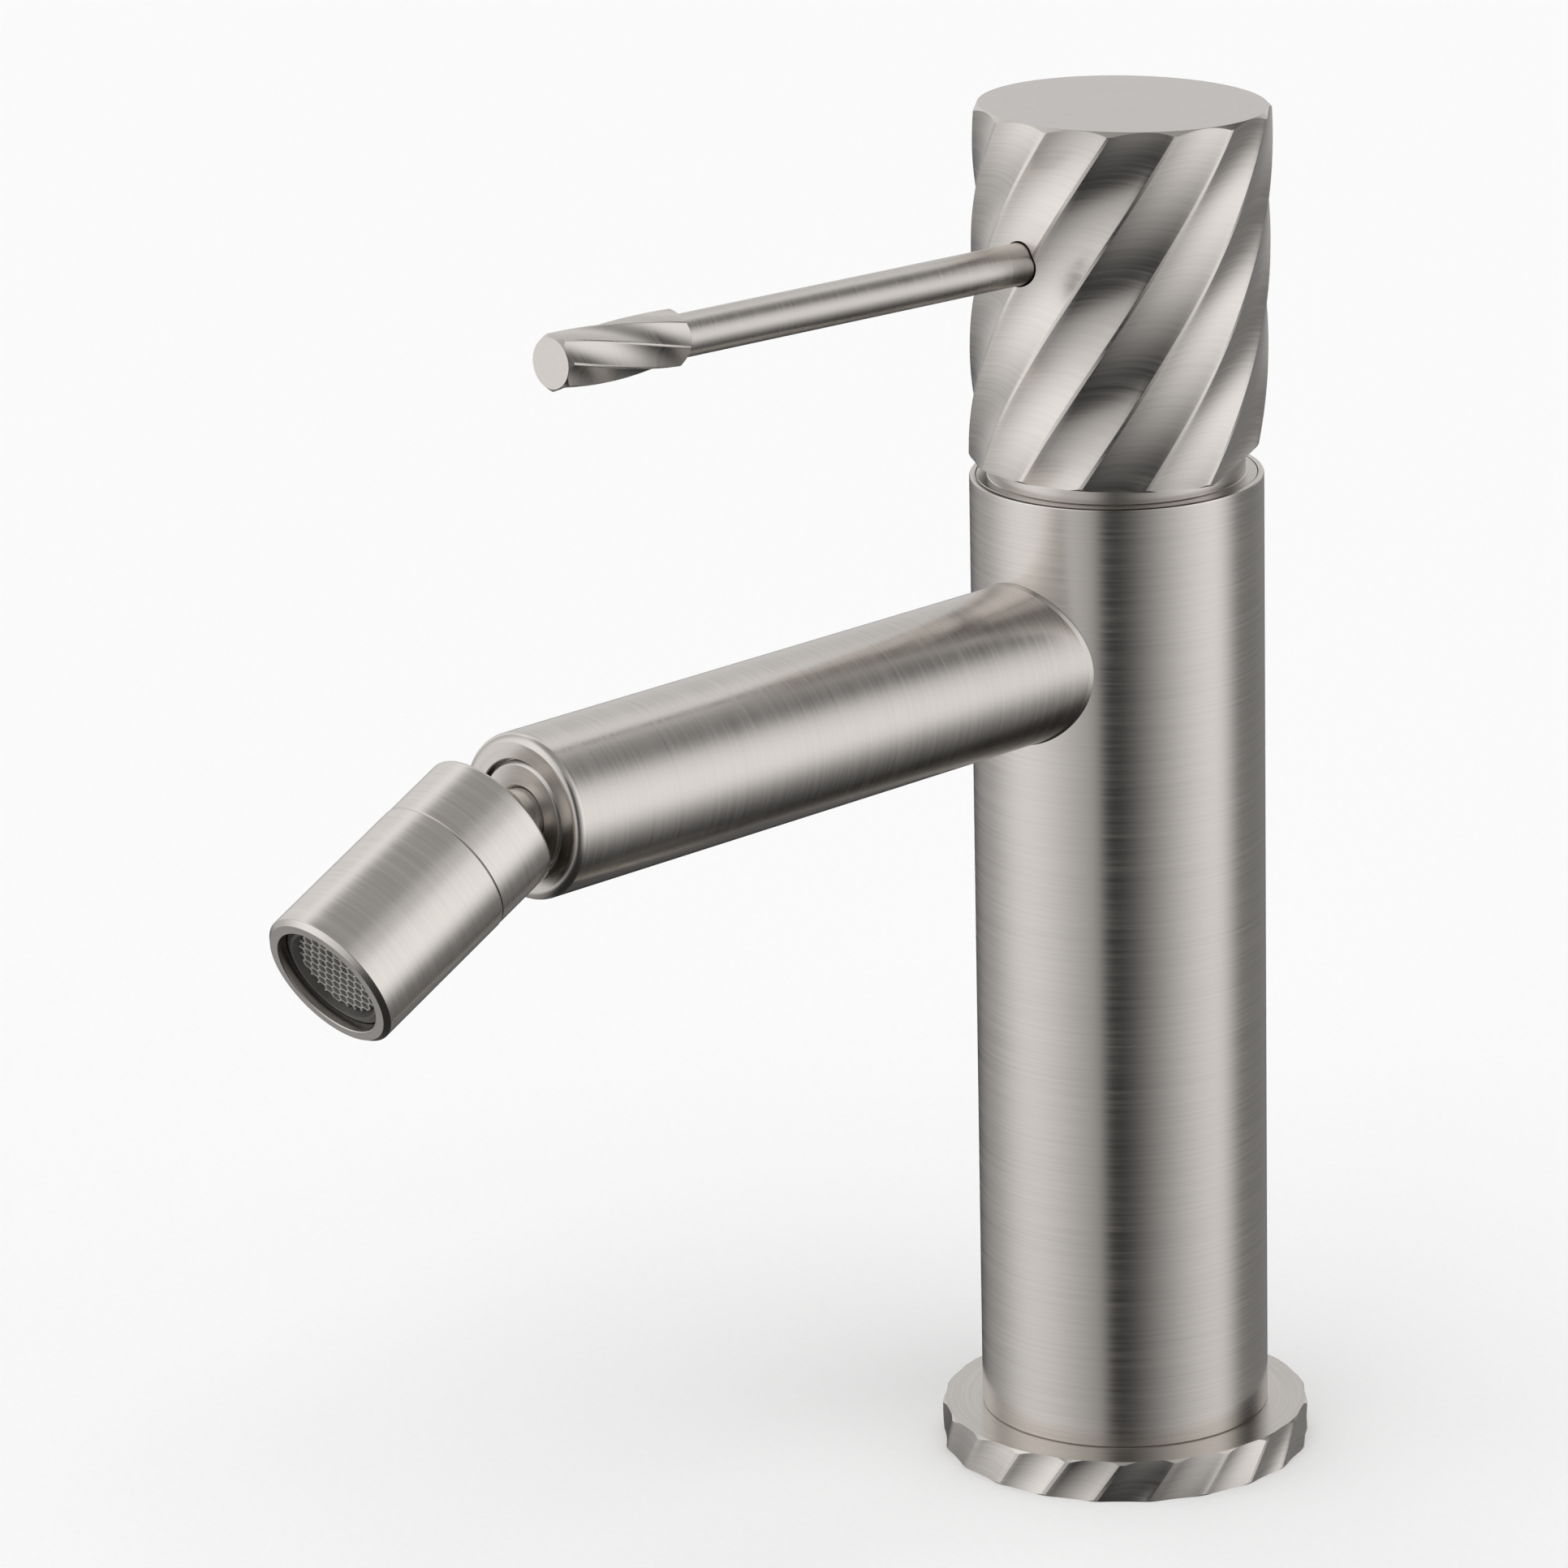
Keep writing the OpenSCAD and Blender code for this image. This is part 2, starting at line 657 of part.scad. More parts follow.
module spout_tube() {
    spout_r = spout_d / 2;
    start = body_d / 2 - saddle_depth;
    length = spout_reach - start;
    thread_r = ring_thread_d / 2 + thread_fit;
    color("silver")
        difference() {
            along_spout(start)
                rotate_extrude()
                    union() {
                        square([spout_r, length - spout_edge_r]);
                        square([spout_r - spout_edge_r, length]);
                        translate([spout_r - spout_edge_r, length - spout_edge_r])
                            circle(r = spout_edge_r);
                    }
            cylinder(r = body_d / 2 + joint_line, h = rim_h);
            along_spout(0)
                cylinder(d = spout_bore_d, h = spout_reach);
            along_spout(0)
                cylinder(r = nipple_d / 2 + thread_fit, h = body_d / 2 + nipple_in_spout + pass_gap);
            along_spout(stem_flange_back - pass_gap)
                cylinder(r = thread_r, h = spout_reach);
            along_spout(spout_reach - mouth_depth)
                cylinder(d = mouth_d, h = mouth_depth + over);
        }
}

module spout_nipple() {
    start = chamber_r + over;
    length = body_d / 2 + nipple_in_spout - start;
    color("goldenrod")
        along_spout(start)
            difference() {
                cylinder(d = nipple_d, h = length);
                translate([0, 0, -over])
                    cylinder(d = nipple_bore_d, h = length + 2 * over);
                translate([0, 0, length - nipple_ring_back - nipple_ring_t])
                    tube(nipple_d, nipple_d / 2 - nipple_ring_t, 2 * nipple_ring_t);
            }
}

module spout_o_ring() {
    color("dimgray")
        along_spout(body_d / 2 + nipple_in_spout - nipple_ring_back)
            o_ring((nipple_d - nipple_ring_t) / 2, nipple_ring_t);
}

// The ring screwed into the spout's end, which holds the turning stem
module retaining_ring() {
    neck_r = neck_d / 2 + running_fit;
    face_t = mouth_depth - ring_recess - stem_play;
    color("silver")
        along_spout(ring_back)
            rotate_extrude()
                polygon([
                    [neck_r, 0],
                    [ring_thread_d / 2, 0],
                    [ring_thread_d / 2, ring_length - face_t],
                    [ring_face_d / 2, ring_length - face_t],
                    [ring_face_d / 2, ring_length - ring_bevel],
                    [ring_face_d / 2 - ring_bevel, ring_length],
                    [neck_r + ring_bevel, ring_length],
                    [neck_r, ring_length - ring_bevel]
                ]);
}

// The stem turns in the spout's end, and its ball carries the nozzle
module swivel_stem() {
    spigot_start = stem_flange_back - stem_spigot;
    groove_r = spout_bore_d / 2 - running_fit - stem_ring_t;
    groove_at = stem_spigot / 2 - stem_ring_t * 0.6;
    color("silver")
        along_spout(spigot_start)
            difference() {
                union() {
                    cylinder(r = spout_bore_d / 2 - spigot_play, h = stem_spigot);
                    translate([0, 0, stem_spigot])
                        cylinder(d = stem_flange_d, h = stem_flange_t);
                    cylinder(d = neck_d, h = ball_reach - spigot_start);
                    translate([0, 0, ball_reach - spigot_start])
                        sphere(r = ball_r);
                }
                translate([0, 0, -over])
                    cylinder(d = swivel_bore_d, h = wide);
                translate([0, 0, groove_at])
                    tube(spout_bore_d, groove_r, stem_ring_t * 1.2);
            }
}

module stem_o_ring() {
    ring_at = stem_flange_back - stem_spigot / 2;
    color("dimgray")
        along_spout(ring_at)
            o_ring(spout_bore_d / 2 - running_fit - stem_ring_t / 2, stem_ring_t);
}

// The collar grips the ball from behind and screws onto the shell
module nozzle_collar() {
    thread_r = shell_thread_d / 2 + thread_fit;
    color("silver")
        along_nozzle(-collar_back)
            difference() {
                rotate_extrude()
                    union() {
                        translate([0, collar_edge_r])
                            square([collar_r, collar_length - collar_edge_r - seam_w]);
                        square([collar_r - collar_edge_r, collar_length]);
                        translate([collar_r - collar_edge_r, collar_edge_r])
                            circle(r = collar_edge_r);
                        polygon([
                            [0, collar_length - seam_w],
                            [collar_r, collar_length - seam_w],
                            [collar_r - seam_w, collar_length],
                            [0, collar_length]
                        ]);
                    }
                translate([0, 0, collar_back])
                    sphere(r = socket_r);
                translate([0, 0, collar_back + ring_pocket_z])
                    cylinder(r = ring_pocket_r, h = collar_length);
                translate([0, 0, collar_back + shell_spigot_z - pass_gap])
                    cylinder(r = thread_r, h = collar_length);
            }
}

module ball_o_ring() {
    color("dimgray")
        along_nozzle(ball_ring_z)
            o_ring(ball_ring_major, ball_ring_t);
}

// The plastic seat presses the ball and its rubber ring into the collar
module ball_seat() {
    color("white")
        difference() {
            along_nozzle(seat_z)
                tube(ring_pocket_r - running_fit, seat_bore_d / 2, seat_length);
            along_nozzle(0)
                sphere(r = socket_r);
        }
}

// The shell takes the thread of the collar at its back and the aerator at its front
module nozzle_shell() {
    shell_r = nozzle_d / 2;
    spigot_r = shell_thread_d / 2;
    aerator_seat = aerator_back - washer_t;
    color("silver")
        along_nozzle(0)
            rotate_extrude()
                polygon([
                    [ring_pocket_r, shell_spigot_z],
                    [spigot_r, shell_spigot_z],
                    [spigot_r, collar_front],
                    [shell_r - seam_w, collar_front],
                    [shell_r, collar_front + seam_w],
                    [shell_r, shell_end - lip_bevel],
                    [shell_r - lip_bevel, shell_end],
                    [opening_d / 2, shell_end],
                    [opening_d / 2, aerator_seat],
                    [shell_water_d / 2, aerator_seat],
                    [shell_water_d / 2, seat_end],
                    [ring_pocket_r, seat_end]
                ]);
}

module aerator_washer() {
    color("dimgray")
        along_nozzle(aerator_back - washer_t)
            tube(aerator_r, grille_d / 2, washer_t);
}

// The stepped plastic housing that holds the honeycomb and the jet plate
module aerator_housing() {
    grille_seat = grille_front - grille_t;
    color("gray")
        along_nozzle(0)
            rotate_extrude()
                polygon([
                    [grille_d / 2, aerator_back],
                    [aerator_r, aerator_back],
                    [aerator_r, aerator_front - aerator_step_h],
                    [aerator_r - aerator_step_w, aerator_front - aerator_step_h],
                    [aerator_r - aerator_step_w, aerator_front],
                    [aerator_r - aerator_step_w - aerator_land_w, aerator_front],
                    [grille_d / 2, grille_front],
                    [grille_d / 2, grille_seat],
                    [grille_d / 2 - grille_hold_w, grille_seat],
                    [grille_d / 2 - grille_hold_w, aerator_back + jet_plate_t],
                    [grille_d / 2, aerator_back + jet_plate_t]
                ]);
}

// The honeycomb that straightens the jet
module aerator_grille() {
    grille_r = grille_d / 2 - running_fit;
    row_h = cell_pitch * sin(60);
    rows = floor(grille_r / row_h);
    columns = ceil(grille_r / cell_pitch);
    cell_r = (cell_pitch - cell_web) / 2 / cos(30);
    reach = grille_r - cell_r - cell_web;
    color("darkgray")
        along_nozzle(grille_front - grille_t)
            linear_extrude(height = grille_t, convexity = 6)
                difference() {
                    circle(r = grille_r);
                    for (row = [-rows:rows], column = [-columns:columns]) {
                        x = (column + (row % 2 == 0 ? 0 : 0.5)) * cell_pitch;
                        y = row * row_h;
                        if (norm([x, y]) < reach)
                            translate([x, y])
                                rotate(30)
                                    circle(r = cell_r, $fn = 6);
                    }
                }
}

module aerator_jet_plate() {
    color("lightgray")
        along_nozzle(aerator_back)
            difference() {
                cylinder(r = grille_d / 2 - running_fit, h = jet_plate_t - running_fit);
                for (k = [0:jet_holes - 1])
                    rotate([0, 0, k * 360 / jet_holes])
                        translate([grille_d / 3, 0, -over])
                            cylinder(d = jet_hole_d, h = jet_plate_t + 2 * over, $fn = 24);
            }
}

// The three holes that carry the water through the gasket and the fixed disc
module disc_ports(height) {
    for (side = [-1, 1])
        translate([side * disc_port_spacing / 2, -disc_port_setback, 0])
            cylinder(d = disc_port_d, h = height, $fn = 48);
    translate([0, outlet_port_back, 0])
        cylinder(d = outlet_port_d, h = height, $fn = 48);
}

module cartridge_base() {
    plug_r = housing_bore_r - running_fit;
    color("white")
        difference() {
            union() {
                translate([0, 0, floor_h])
                    cylinder(r = housing_r, h = base_foot_h);
                translate([0, 0, floor_h])
                    cylinder(r = plug_r, h = cartridge_base_h);
                for (side = [-1, 1])
                    translate([0, side * locating_pin_at, floor_h - locating_pin_h])
                        cylinder(d = locating_pin_d, h = locating_pin_h + over);
            }
            at_inlets(port_spacing) {
                translate([0, 0, floor_h - over])
                    cylinder(d = port_d, h = channel_h + over);
                translate([0, 0, floor_h - over])
                    cylinder(r = seal_d / 2 + running_fit, h = seal_t + over);
            }
            translate([0, 0, base_top - channel_h])
                disc_ports(channel_h + over);
            translate([0, outlet_port_back, base_top - channel_h])
                rotate([-90, 0, 0])
                    cylinder(d = outlet_port_d, h = housing_r);
        }
}

// Rubber seals between the chamber floor and the cartridge
module inlet_seals() {
    color("dimgray")
        at_inlets(port_spacing)
            translate([0, 0, floor_h])
                tube(seal_d / 2, port_d / 2, seal_t);
}

module disc_gasket() {
    color("dimgray")
        translate([0, 0, base_top])
            difference() {
                cylinder(d = fixed_disc_d, h = disc_gasket_t);
                translate([0, 0, -over])
                    disc_ports(disc_gasket_t + 2 * over);
            }
}

module fixed_disc() {
    color("ivory")
        translate([0, 0, disc_floor])
            difference() {
                cylinder(d = fixed_disc_d, h = disc_t);
                translate([0, 0, -over])
                    disc_ports(disc_t + 2 * over);
            }
}

// The moving parts of the valve slide along Y as the lever lifts
module with_carrier(height) {
    translate([0, -stem_lag, height])
        children();
}

// A chamber in its underside joins the two inlet ports to the outlet port
module moving_disc() {
    color("ivory")
        with_carrier(moving_floor)
            difference() {
                translate([0, moving_disc_back, 0])
                    cylinder(d = moving_disc_d, h = disc_t);
                intersection() {
                    translate([-mixing_w / 2, -mixing_front, -over])
                        cube([mixing_w, moving_disc_d, mixing_depth + over]);
                    translate([0, moving_disc_back, -over])
                        cylinder(r = moving_disc_d / 2 - mixing_wall, h = disc_t);
                }
            }
}

module disc_carrier() {
    socket = stem_ball_d / 2 + socket_play;
    color("orange")
        with_carrier(carrier_floor)
            difference() {
                intersection() {
                    translate([0, moving_disc_back, 0])
                        cylinder(d = moving_disc_d, h = carrier_h);
                    translate([-carrier_flats / 2, -wide / 2, 0])
                        cube([carrier_flats, wide, carrier_h]);
                }
                translate([-socket, -socket, socket_floor])
                    cube([2 * socket, 2 * socket, carrier_h]);
            }
}

// The turning guide carries the pin, and its two legs turn the carrier with it
module cartridge_rotor() {
    leg_x = (carrier_flats + rotor_leg_w + pass_gap) / 2;
    flange_floor = rotor_stop_h - pass_gap - rotor_flange_t;
    rotor_top = pivot_h + rotor_rise;
    cheek = stem_square / 2 + cheek_play;
    color("orange")
        difference() {
            union() {
                translate([0, 0, flange_floor])
                    cylinder(r = rotor_r, h = rotor_top - flange_floor);
                translate([0, 0, flange_floor])
                    cylinder(r = housing_bore_r - pass_gap, h = rotor_flange_t);
                for (side = [-1, 1])
                    translate([side * leg_x, 0, flange_floor + (over - rotor_leg_h) / 2])
                        cube([rotor_leg_w, rotor_leg_l, rotor_leg_h + over], center = true);
            }
            translate([-cheek, -rotor_slot / 2, flange_floor - over])
                cube([2 * cheek, rotor_slot, wide]);
            translate([0, 0, pivot_h])
                rotate([0, 90, 0])
                    cylinder(d = pin_d + 2 * thread_fit, h = wide, center = true);
        }
}

module rotor_pin() {
    pin_length = 2 * (sqrt(pow(rotor_r, 2) - pow(pin_d / 2, 2)) - thread_fit);
    color("silver")
        translate([0, 0, pivot_h])
            rotate([0, 90, 0])
                cylinder(d = pin_d, h = pin_length, center = true);
}

// The lever's spindle: a square for the knob, a hub on the pin and a ball end
module lever_stem() {
    half = stem_square / 2;
    color("silver")
        with_knob()
            difference() {
                union() {
                    translate([-half, -half, 0])
                        cube([stem_square, stem_square, stem_top]);
                    rotate([0, 90, 0])
                        cylinder(r = half, h = stem_square, center = true);
                    translate([0, 0, -stem_arm])
                        cylinder(d1 = stem_waist_d, d2 = stem_waist_d * 2, h = stem_arm - stem_hub_h);
                    translate([0, 0, -stem_arm])
                        sphere(d = stem_ball_d, $fn = 48);
                }
                rotate([0, 90, 0])
                    cylinder(d = pin_d + 2 * running_fit, h = wide, center = true);
            }
}

module cartridge_housing() {
    skirt_floor = floor_h + base_foot_h + outlet_window_h;
    neck_top = pivot_h + housing_neck_h;
    flange_outer = chamber_r - 2 * running_fit;
    groove_h = housing_ring_t * 1.3;
    groove_floor = housing_flange_floor + (housing_flange_h - groove_h) / 2;
    color("white")
        difference() {
            union() {
                translate([0, 0, skirt_floor])
                    cylinder(r = housing_r, h = nut_seat_h - skirt_floor);
                translate([0, 0, housing_flange_floor])
                    cylinder(r = flange_outer, h = housing_flange_h);
                translate([0, 0, nut_seat_h])
                    cylinder(d = housing_neck_d, h = neck_top - nut_seat_h);
            }
            translate([0, 0, skirt_floor - over])
                cylinder(r = housing_bore_r, h = rotor_stop_h - skirt_floor + over);
            translate([0, 0, skirt_floor])
                cylinder(r = rotor_r + running_fit, h = wide);
            translate([0, 0, groove_floor])
                tube(wide / 2, chamber_r - running_fit - housing_ring_t, groove_h);
        }
}

module housing_o_ring() {
    color("dimgray")
        translate([0, 0, housing_flange_floor + housing_flange_h / 2])
            o_ring(chamber_r - running_fit - housing_ring_t / 2, housing_ring_t);
}

// The nut that clamps the cartridge, with four slots for its key
module cartridge_nut() {
    color("goldenrod")
        translate([0, 0, nut_seat_h])
            difference() {
                tube(thread_d / 2, housing_neck_d / 2 + nut_clearance, nut_h);
                for (k = [0:3])
                    rotate([0, 0, k * 90])
                        translate([0, -nut_slot_w / 2, nut_h - nut_slot_h])
                            cube([wide, nut_slot_w, nut_slot_h + over]);
            }
}

// The cover under the knob: its rounded top lets the knob lean back over it
module cover_dome() {
    spigot_floor = nut_seat_h + nut_h + nut_clearance;
    spigot_inner = thread_d / 2 - cover_spigot_wall;
    skirt_inner = cover_d / 2 - cover_wall;
    color("silver")
        rotate_extrude()
            difference() {
                union() {
                    translate([0, spigot_floor])
                        square([thread_d / 2, cover_seat_h - spigot_floor + over]);
                    translate([0, cover_seat_h])
                        square([cover_flange_d / 2, cover_flange_t]);
                    intersection() {
                        translate([0, pivot_h])
                            circle(r = cover_round_r);
                        translate([0, cover_seat_h])
                            square([cover_d / 2, wide]);
                    }
                }
                translate([-over, spigot_floor - over])
                    square([spigot_inner + over, cover_seat_h + cover_web - spigot_floor + over]);
                intersection() {
                    translate([0, pivot_h])
                        circle(r = cover_round_r - cover_wall);
                    translate([-over, cover_seat_h + cover_web])
                        square([skirt_inner + over, wide]);
                }
                translate([-wide, 0])
                    square([wide, 3 * wide]);
                translate([-over, cover_seat_h])
                    square([cover_opening_d / 2 + over, wide]);
            }
}

module handle_knob() {
    cavity_top = knob_top - knob_top_t;
    color("silver")
        with_knob()
            difference() {
                translate([0, 0, knob_foot])
                    intersection() {
                        fluted_bar(knob_r, knob_flutes, knob_hollow, knob_land, knob_h,
                            knob_twist, 22, knob_phase);
                        bevel_envelope(knob_r, knob_h, knob_foot_bevel, knob_foot_bevel,
                            knob_bevel_w, knob_bevel_h);
                    }
                difference() {
                    cylinder(d = cavity_d, h = cavity_top);
                    translate([0, 0, boss_floor])
                        cylinder(r = boss_r, h = cavity_top);
                }
                cylinder(r = bush_d / 2 + running_fit, h = bush_top + running_fit);
                translate([0, 0, lever_h])
                    rotate([90, 0, 0]) {
                        cylinder(r = rod_stud_d / 2 + thread_fit, h = boss_r + over);
                        translate([0, 0, boss_r + over])
                            cylinder(r = rod_d / 2 + rod_gap, h = wide);
                    }
                translate([-wide / 2, -cut_start, knob_foot])
                    rotate([cut_slope, 0, 0])
                        translate([0, 0, -wide])
                            cube([wide, wide, wide]);
            }
}

// The bush in the knob's boss grips the stem's square
module knob_bush() {
    half = stem_square / 2 + thread_fit;
    color("white")
        with_knob()
            difference() {
                translate([0, 0, boss_floor])
                    cylinder(d = bush_d, h = bush_length);
                translate([-half, -half, 0])
                    cube([2 * half, 2 * half, stem_top + thread_fit]);
                translate([0, 0, lever_h])
                    rotate([90, 0, 0])
                        cylinder(r = grub_d / 2 + thread_fit, h = wide);
            }
}

// The grub screw lies behind the lever rod, and is reached when the rod is unscrewed
module grub_screw() {
    color("dimgray")
        along_lever(grub_start)
            difference() {
                cylinder(d = grub_d, h = grub_length);
                translate([0, 0, grub_length - grub_socket_h])
                    cylinder(d = grub_socket / cos(30), h = grub_socket_h + over, $fn = 6);
            }
}

module lever_rod() {
    shoulder = boss_r + running_fit;
    stud_start = grub_end + pass_gap;
    stud_end = tip_start + tip_stud;
    color("silver")
        union() {
            along_lever(stud_start)
                cylinder(d = rod_stud_d, h = stud_end - stud_start);
            along_lever(shoulder)
                cylinder(d = rod_d, h = tip_start - shoulder);
        }
}

module lever_tip() {
    bore_r = rod_stud_d / 2 + thread_fit;
    color("silver")
        along_lever(tip_start)
            difference() {
                intersection() {
                    fluted_bar(tip_r, tip_flutes, tip_hollow, tip_land, tip_length,
                        tip_twist, 10, tip_phase);
                    bevel_envelope(tip_r, tip_length, tip_bevel_w, tip_bevel_h,
                        tip_bevel_w, tip_bevel_h);
                }
                translate([0, 0, -over])
                    cylinder(r = bore_r, h = tip_stud + pass_gap + over);
            }
}

base_flange();
base_gasket();
body_column();
spout_tube();
spout_nipple();
spout_o_ring();
retaining_ring();
swivel_stem();
stem_o_ring();
nozzle_collar();
ball_o_ring();
ball_seat();
nozzle_shell();
aerator_washer();
aerator_housing();
aerator_grille();
aerator_jet_plate();
cartridge_base();
inlet_seals();
disc_gasket();
fixed_disc();
moving_disc();
disc_carrier();
cartridge_rotor();
rotor_pin();
lever_stem();
cartridge_housing();
housing_o_ring();
cartridge_nut();
cover_dome();
handle_knob();
knob_bush();
grub_screw();
lever_rod();
lever_tip();
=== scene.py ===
"""Dressed model of a single lever bidet mixer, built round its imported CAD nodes.

The turned and fluted pieces that show are modelled here with finer meshes than the CAD
nodes they stand for. The pieces inside keep their CAD meshes and get their real finish.
Lengths are in millimetres until a piece is put in its place.
"""

import json
import logging
import math
from dataclasses import dataclass
from enum import Enum
from typing import Mapping, Sequence, Union

import bmesh
import bpy
from mathutils import Matrix, Vector


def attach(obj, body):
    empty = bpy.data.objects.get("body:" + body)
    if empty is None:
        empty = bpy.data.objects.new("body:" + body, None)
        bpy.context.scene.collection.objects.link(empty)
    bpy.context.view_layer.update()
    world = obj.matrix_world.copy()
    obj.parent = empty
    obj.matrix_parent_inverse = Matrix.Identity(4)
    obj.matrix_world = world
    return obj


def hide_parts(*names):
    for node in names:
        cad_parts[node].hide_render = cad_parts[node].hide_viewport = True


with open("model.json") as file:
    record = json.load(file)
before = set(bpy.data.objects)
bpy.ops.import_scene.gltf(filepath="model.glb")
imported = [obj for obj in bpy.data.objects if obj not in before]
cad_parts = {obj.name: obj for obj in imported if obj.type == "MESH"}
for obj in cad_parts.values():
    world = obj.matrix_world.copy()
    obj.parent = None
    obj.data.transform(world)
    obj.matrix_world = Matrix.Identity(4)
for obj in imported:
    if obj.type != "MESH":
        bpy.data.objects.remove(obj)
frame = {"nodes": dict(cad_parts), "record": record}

LOG = logging.getLogger("bidet_mixer")
MILLIMETRE = 0.001
# How far a cutter reaches past a face
OVER = 1.0
# Edges sharper than this many degrees are broken with a small round
SHARP = 24.0
# The sockets of Map Range that carry vectors
FROM_MIN, FROM_MAX, TO_MIN, TO_MAX = 7, 8, 9, 10

Piece = bpy.types.Object
Tree = bpy.types.NodeTree
Socket = bpy.types.NodeSocket
Point = tuple[float, float]
Value = Union[float, Sequence[float], Socket]


# Axes and places


@dataclass(frozen=True)
class Datum:
    """The heights and angles that the pieces are placed by.

    Attributes:
        pivot_h: Height of the lever's pivot above the deck.
        lift: Degrees that the lever is lifted at rest.
        lever_h: Height of the lever rod above the pivot.
        spout_h: Height of the spout's axis above the deck.
        ball_reach: Distance from the column's axis to the nozzle's ball.
        drop: Degrees that the nozzle hangs down.
    """

    pivot_h: float = 137.3
    lift: float = 2.0
    lever_h: float = 34.6
    spout_h: float = 117.4
    ball_reach: float = 117.5
    drop: float = 27.0


DATUM = Datum()


class Axis(Enum):
    """The axes that the pieces are turned about, each with Z along it."""

    COLUMN = "column"
    SPOUT = "spout"
    NOZZLE = "nozzle"
    KNOB = "knob"
    LEVER = "lever"

    def place(self) -> Matrix:
        """Gives the axis's own frame.

        Returns:
            The matrix from the axis's frame to the mixer's, in millimetres.
        """
        knob = leaning(0, DATUM.pivot_h, -DATUM.lift)
        if self is Axis.SPOUT:
            return leaning(0, DATUM.spout_h, 90)
        if self is Axis.NOZZLE:
            return leaning(-DATUM.ball_reach, DATUM.spout_h, 90 + DATUM.drop)
        if self is Axis.KNOB:
            return knob
        if self is Axis.LEVER:
            return knob @ lever_hole()
        return Matrix.Identity(4)


def leaning(y: float, z: float, degrees: float) -> Matrix:
    """Gives the matrix of a turn about X, positive from Y to Z, and a move after it."""
    return Matrix.Translation((0, y, z)) @ Matrix.Rotation(math.radians(degrees), 4, "X")


def lever_hole() -> Matrix:
    """Gives the place of the lever's hole in the knob, with Z along the lever."""
    return leaning(0, DATUM.lever_h, 90)


# Bench work: small steps that the builders share


def deselect_everything() -> None:
    """Leaves edit mode and deselects every object."""
    active = bpy.context.view_layer.objects.active
    if active is not None and active.mode != "OBJECT":
        bpy.ops.object.mode_set(mode="OBJECT")
    bpy.ops.object.select_all(action="DESELECT")


def take_up(piece: Piece) -> None:
    """Makes a piece the one selected and active object.

    Args:
        piece: The piece to work on.
    """
    deselect_everything()
    piece.select_set(True)
    bpy.context.view_layer.objects.active = piece


def open_mesh(kind: str = "VERT") -> None:
    """Opens the active piece in edit mode with everything selected.

    Args:
        kind: What is selected: VERT, EDGE or FACE.
    """
    bpy.ops.object.mode_set(mode="EDIT")
    bpy.ops.mesh.select_mode(type=kind)
    bpy.ops.mesh.select_all(action="SELECT")


def close_and_orient(fill_ends: bool) -> None:
    """Closes the mesh in edit mode and turns its faces outwards.

    Args:
        fill_ends: True closes open rings with a face each.
    """
    bpy.ops.mesh.select_mode(type="VERT")
    bpy.ops.mesh.select_all(action="SELECT")
    bpy.ops.mesh.remove_doubles(threshold=0.0004)
    if fill_ends:
        bpy.ops.mesh.select_all(action="DESELECT")
        bpy.ops.mesh.select_non_manifold(extend=False)
        bpy.ops.mesh.edge_face_add()
    bpy.ops.mesh.select_all(action="SELECT")
    bpy.ops.mesh.normals_make_consistent(inside=False)
    bpy.ops.object.mode_set(mode="OBJECT")


def shape_with(piece: Piece, kind: str, **settings: object) -> None:
    """Shapes a piece with one modifier, and applies it.

    Args:
        piece: The piece.
        kind: The modifier's type.
        settings: The modifier's own settings.
    """
    take_up(piece)
    modifier = piece.modifiers.new(kind, kind)
    for name, setting in settings.items():
        setattr(modifier, name, setting)
    bpy.ops.object.modifier_apply(modifier=modifier.name)


def break_edges(piece: Piece, width: float) -> None:
    """Breaks a piece's sharp edges with a small round of the given width."""
    angle = math.radians(SHARP)
    shape_with(piece, "BEVEL", width=width, segments=2, limit_method="ANGLE", angle_limit=angle)


def set_in_place(piece: Piece, axis: Axis, smooth: float = 30.0, along: float = 0.0) -> Piece:
    """Moves a finished mesh to its place in metres, with its object at the origin.

    Args:
        piece: The piece, modelled in millimetres.
        axis: The axis it was modelled on.
        smooth: Edges flatter than this many degrees are shaded smooth.
        along: How far it is moved along the axis.

    Returns:
        The piece.
    """
    take_up(piece)
    place = axis.place() @ Matrix.Translation((0, 0, along))
    piece.matrix_world = Matrix.Scale(MILLIMETRE, 4) @ place @ piece.matrix_world
    bpy.ops.object.transform_apply(location=True, rotation=True, scale=True)
    bpy.ops.object.shade_smooth_by_angle(angle=math.radians(smooth))
    # The wide faces keep their own shading, and only the broken edges blend
    shape_with(piece, "WEIGHTED_NORMAL", keep_sharp=True)
    return piece


def arc(centre: Point, radius: float, start: float, end: float, steps: int) -> list[Point]:
    """Gives an arc of a profile, by its angles: 0 points outwards and 90 upwards."""
    turns = [math.radians(start + (end - start) * i / steps) for i in range(steps + 1)]
    return [(centre[0] + radius * math.cos(t), centre[1] + radius * math.sin(t)) for t in turns]


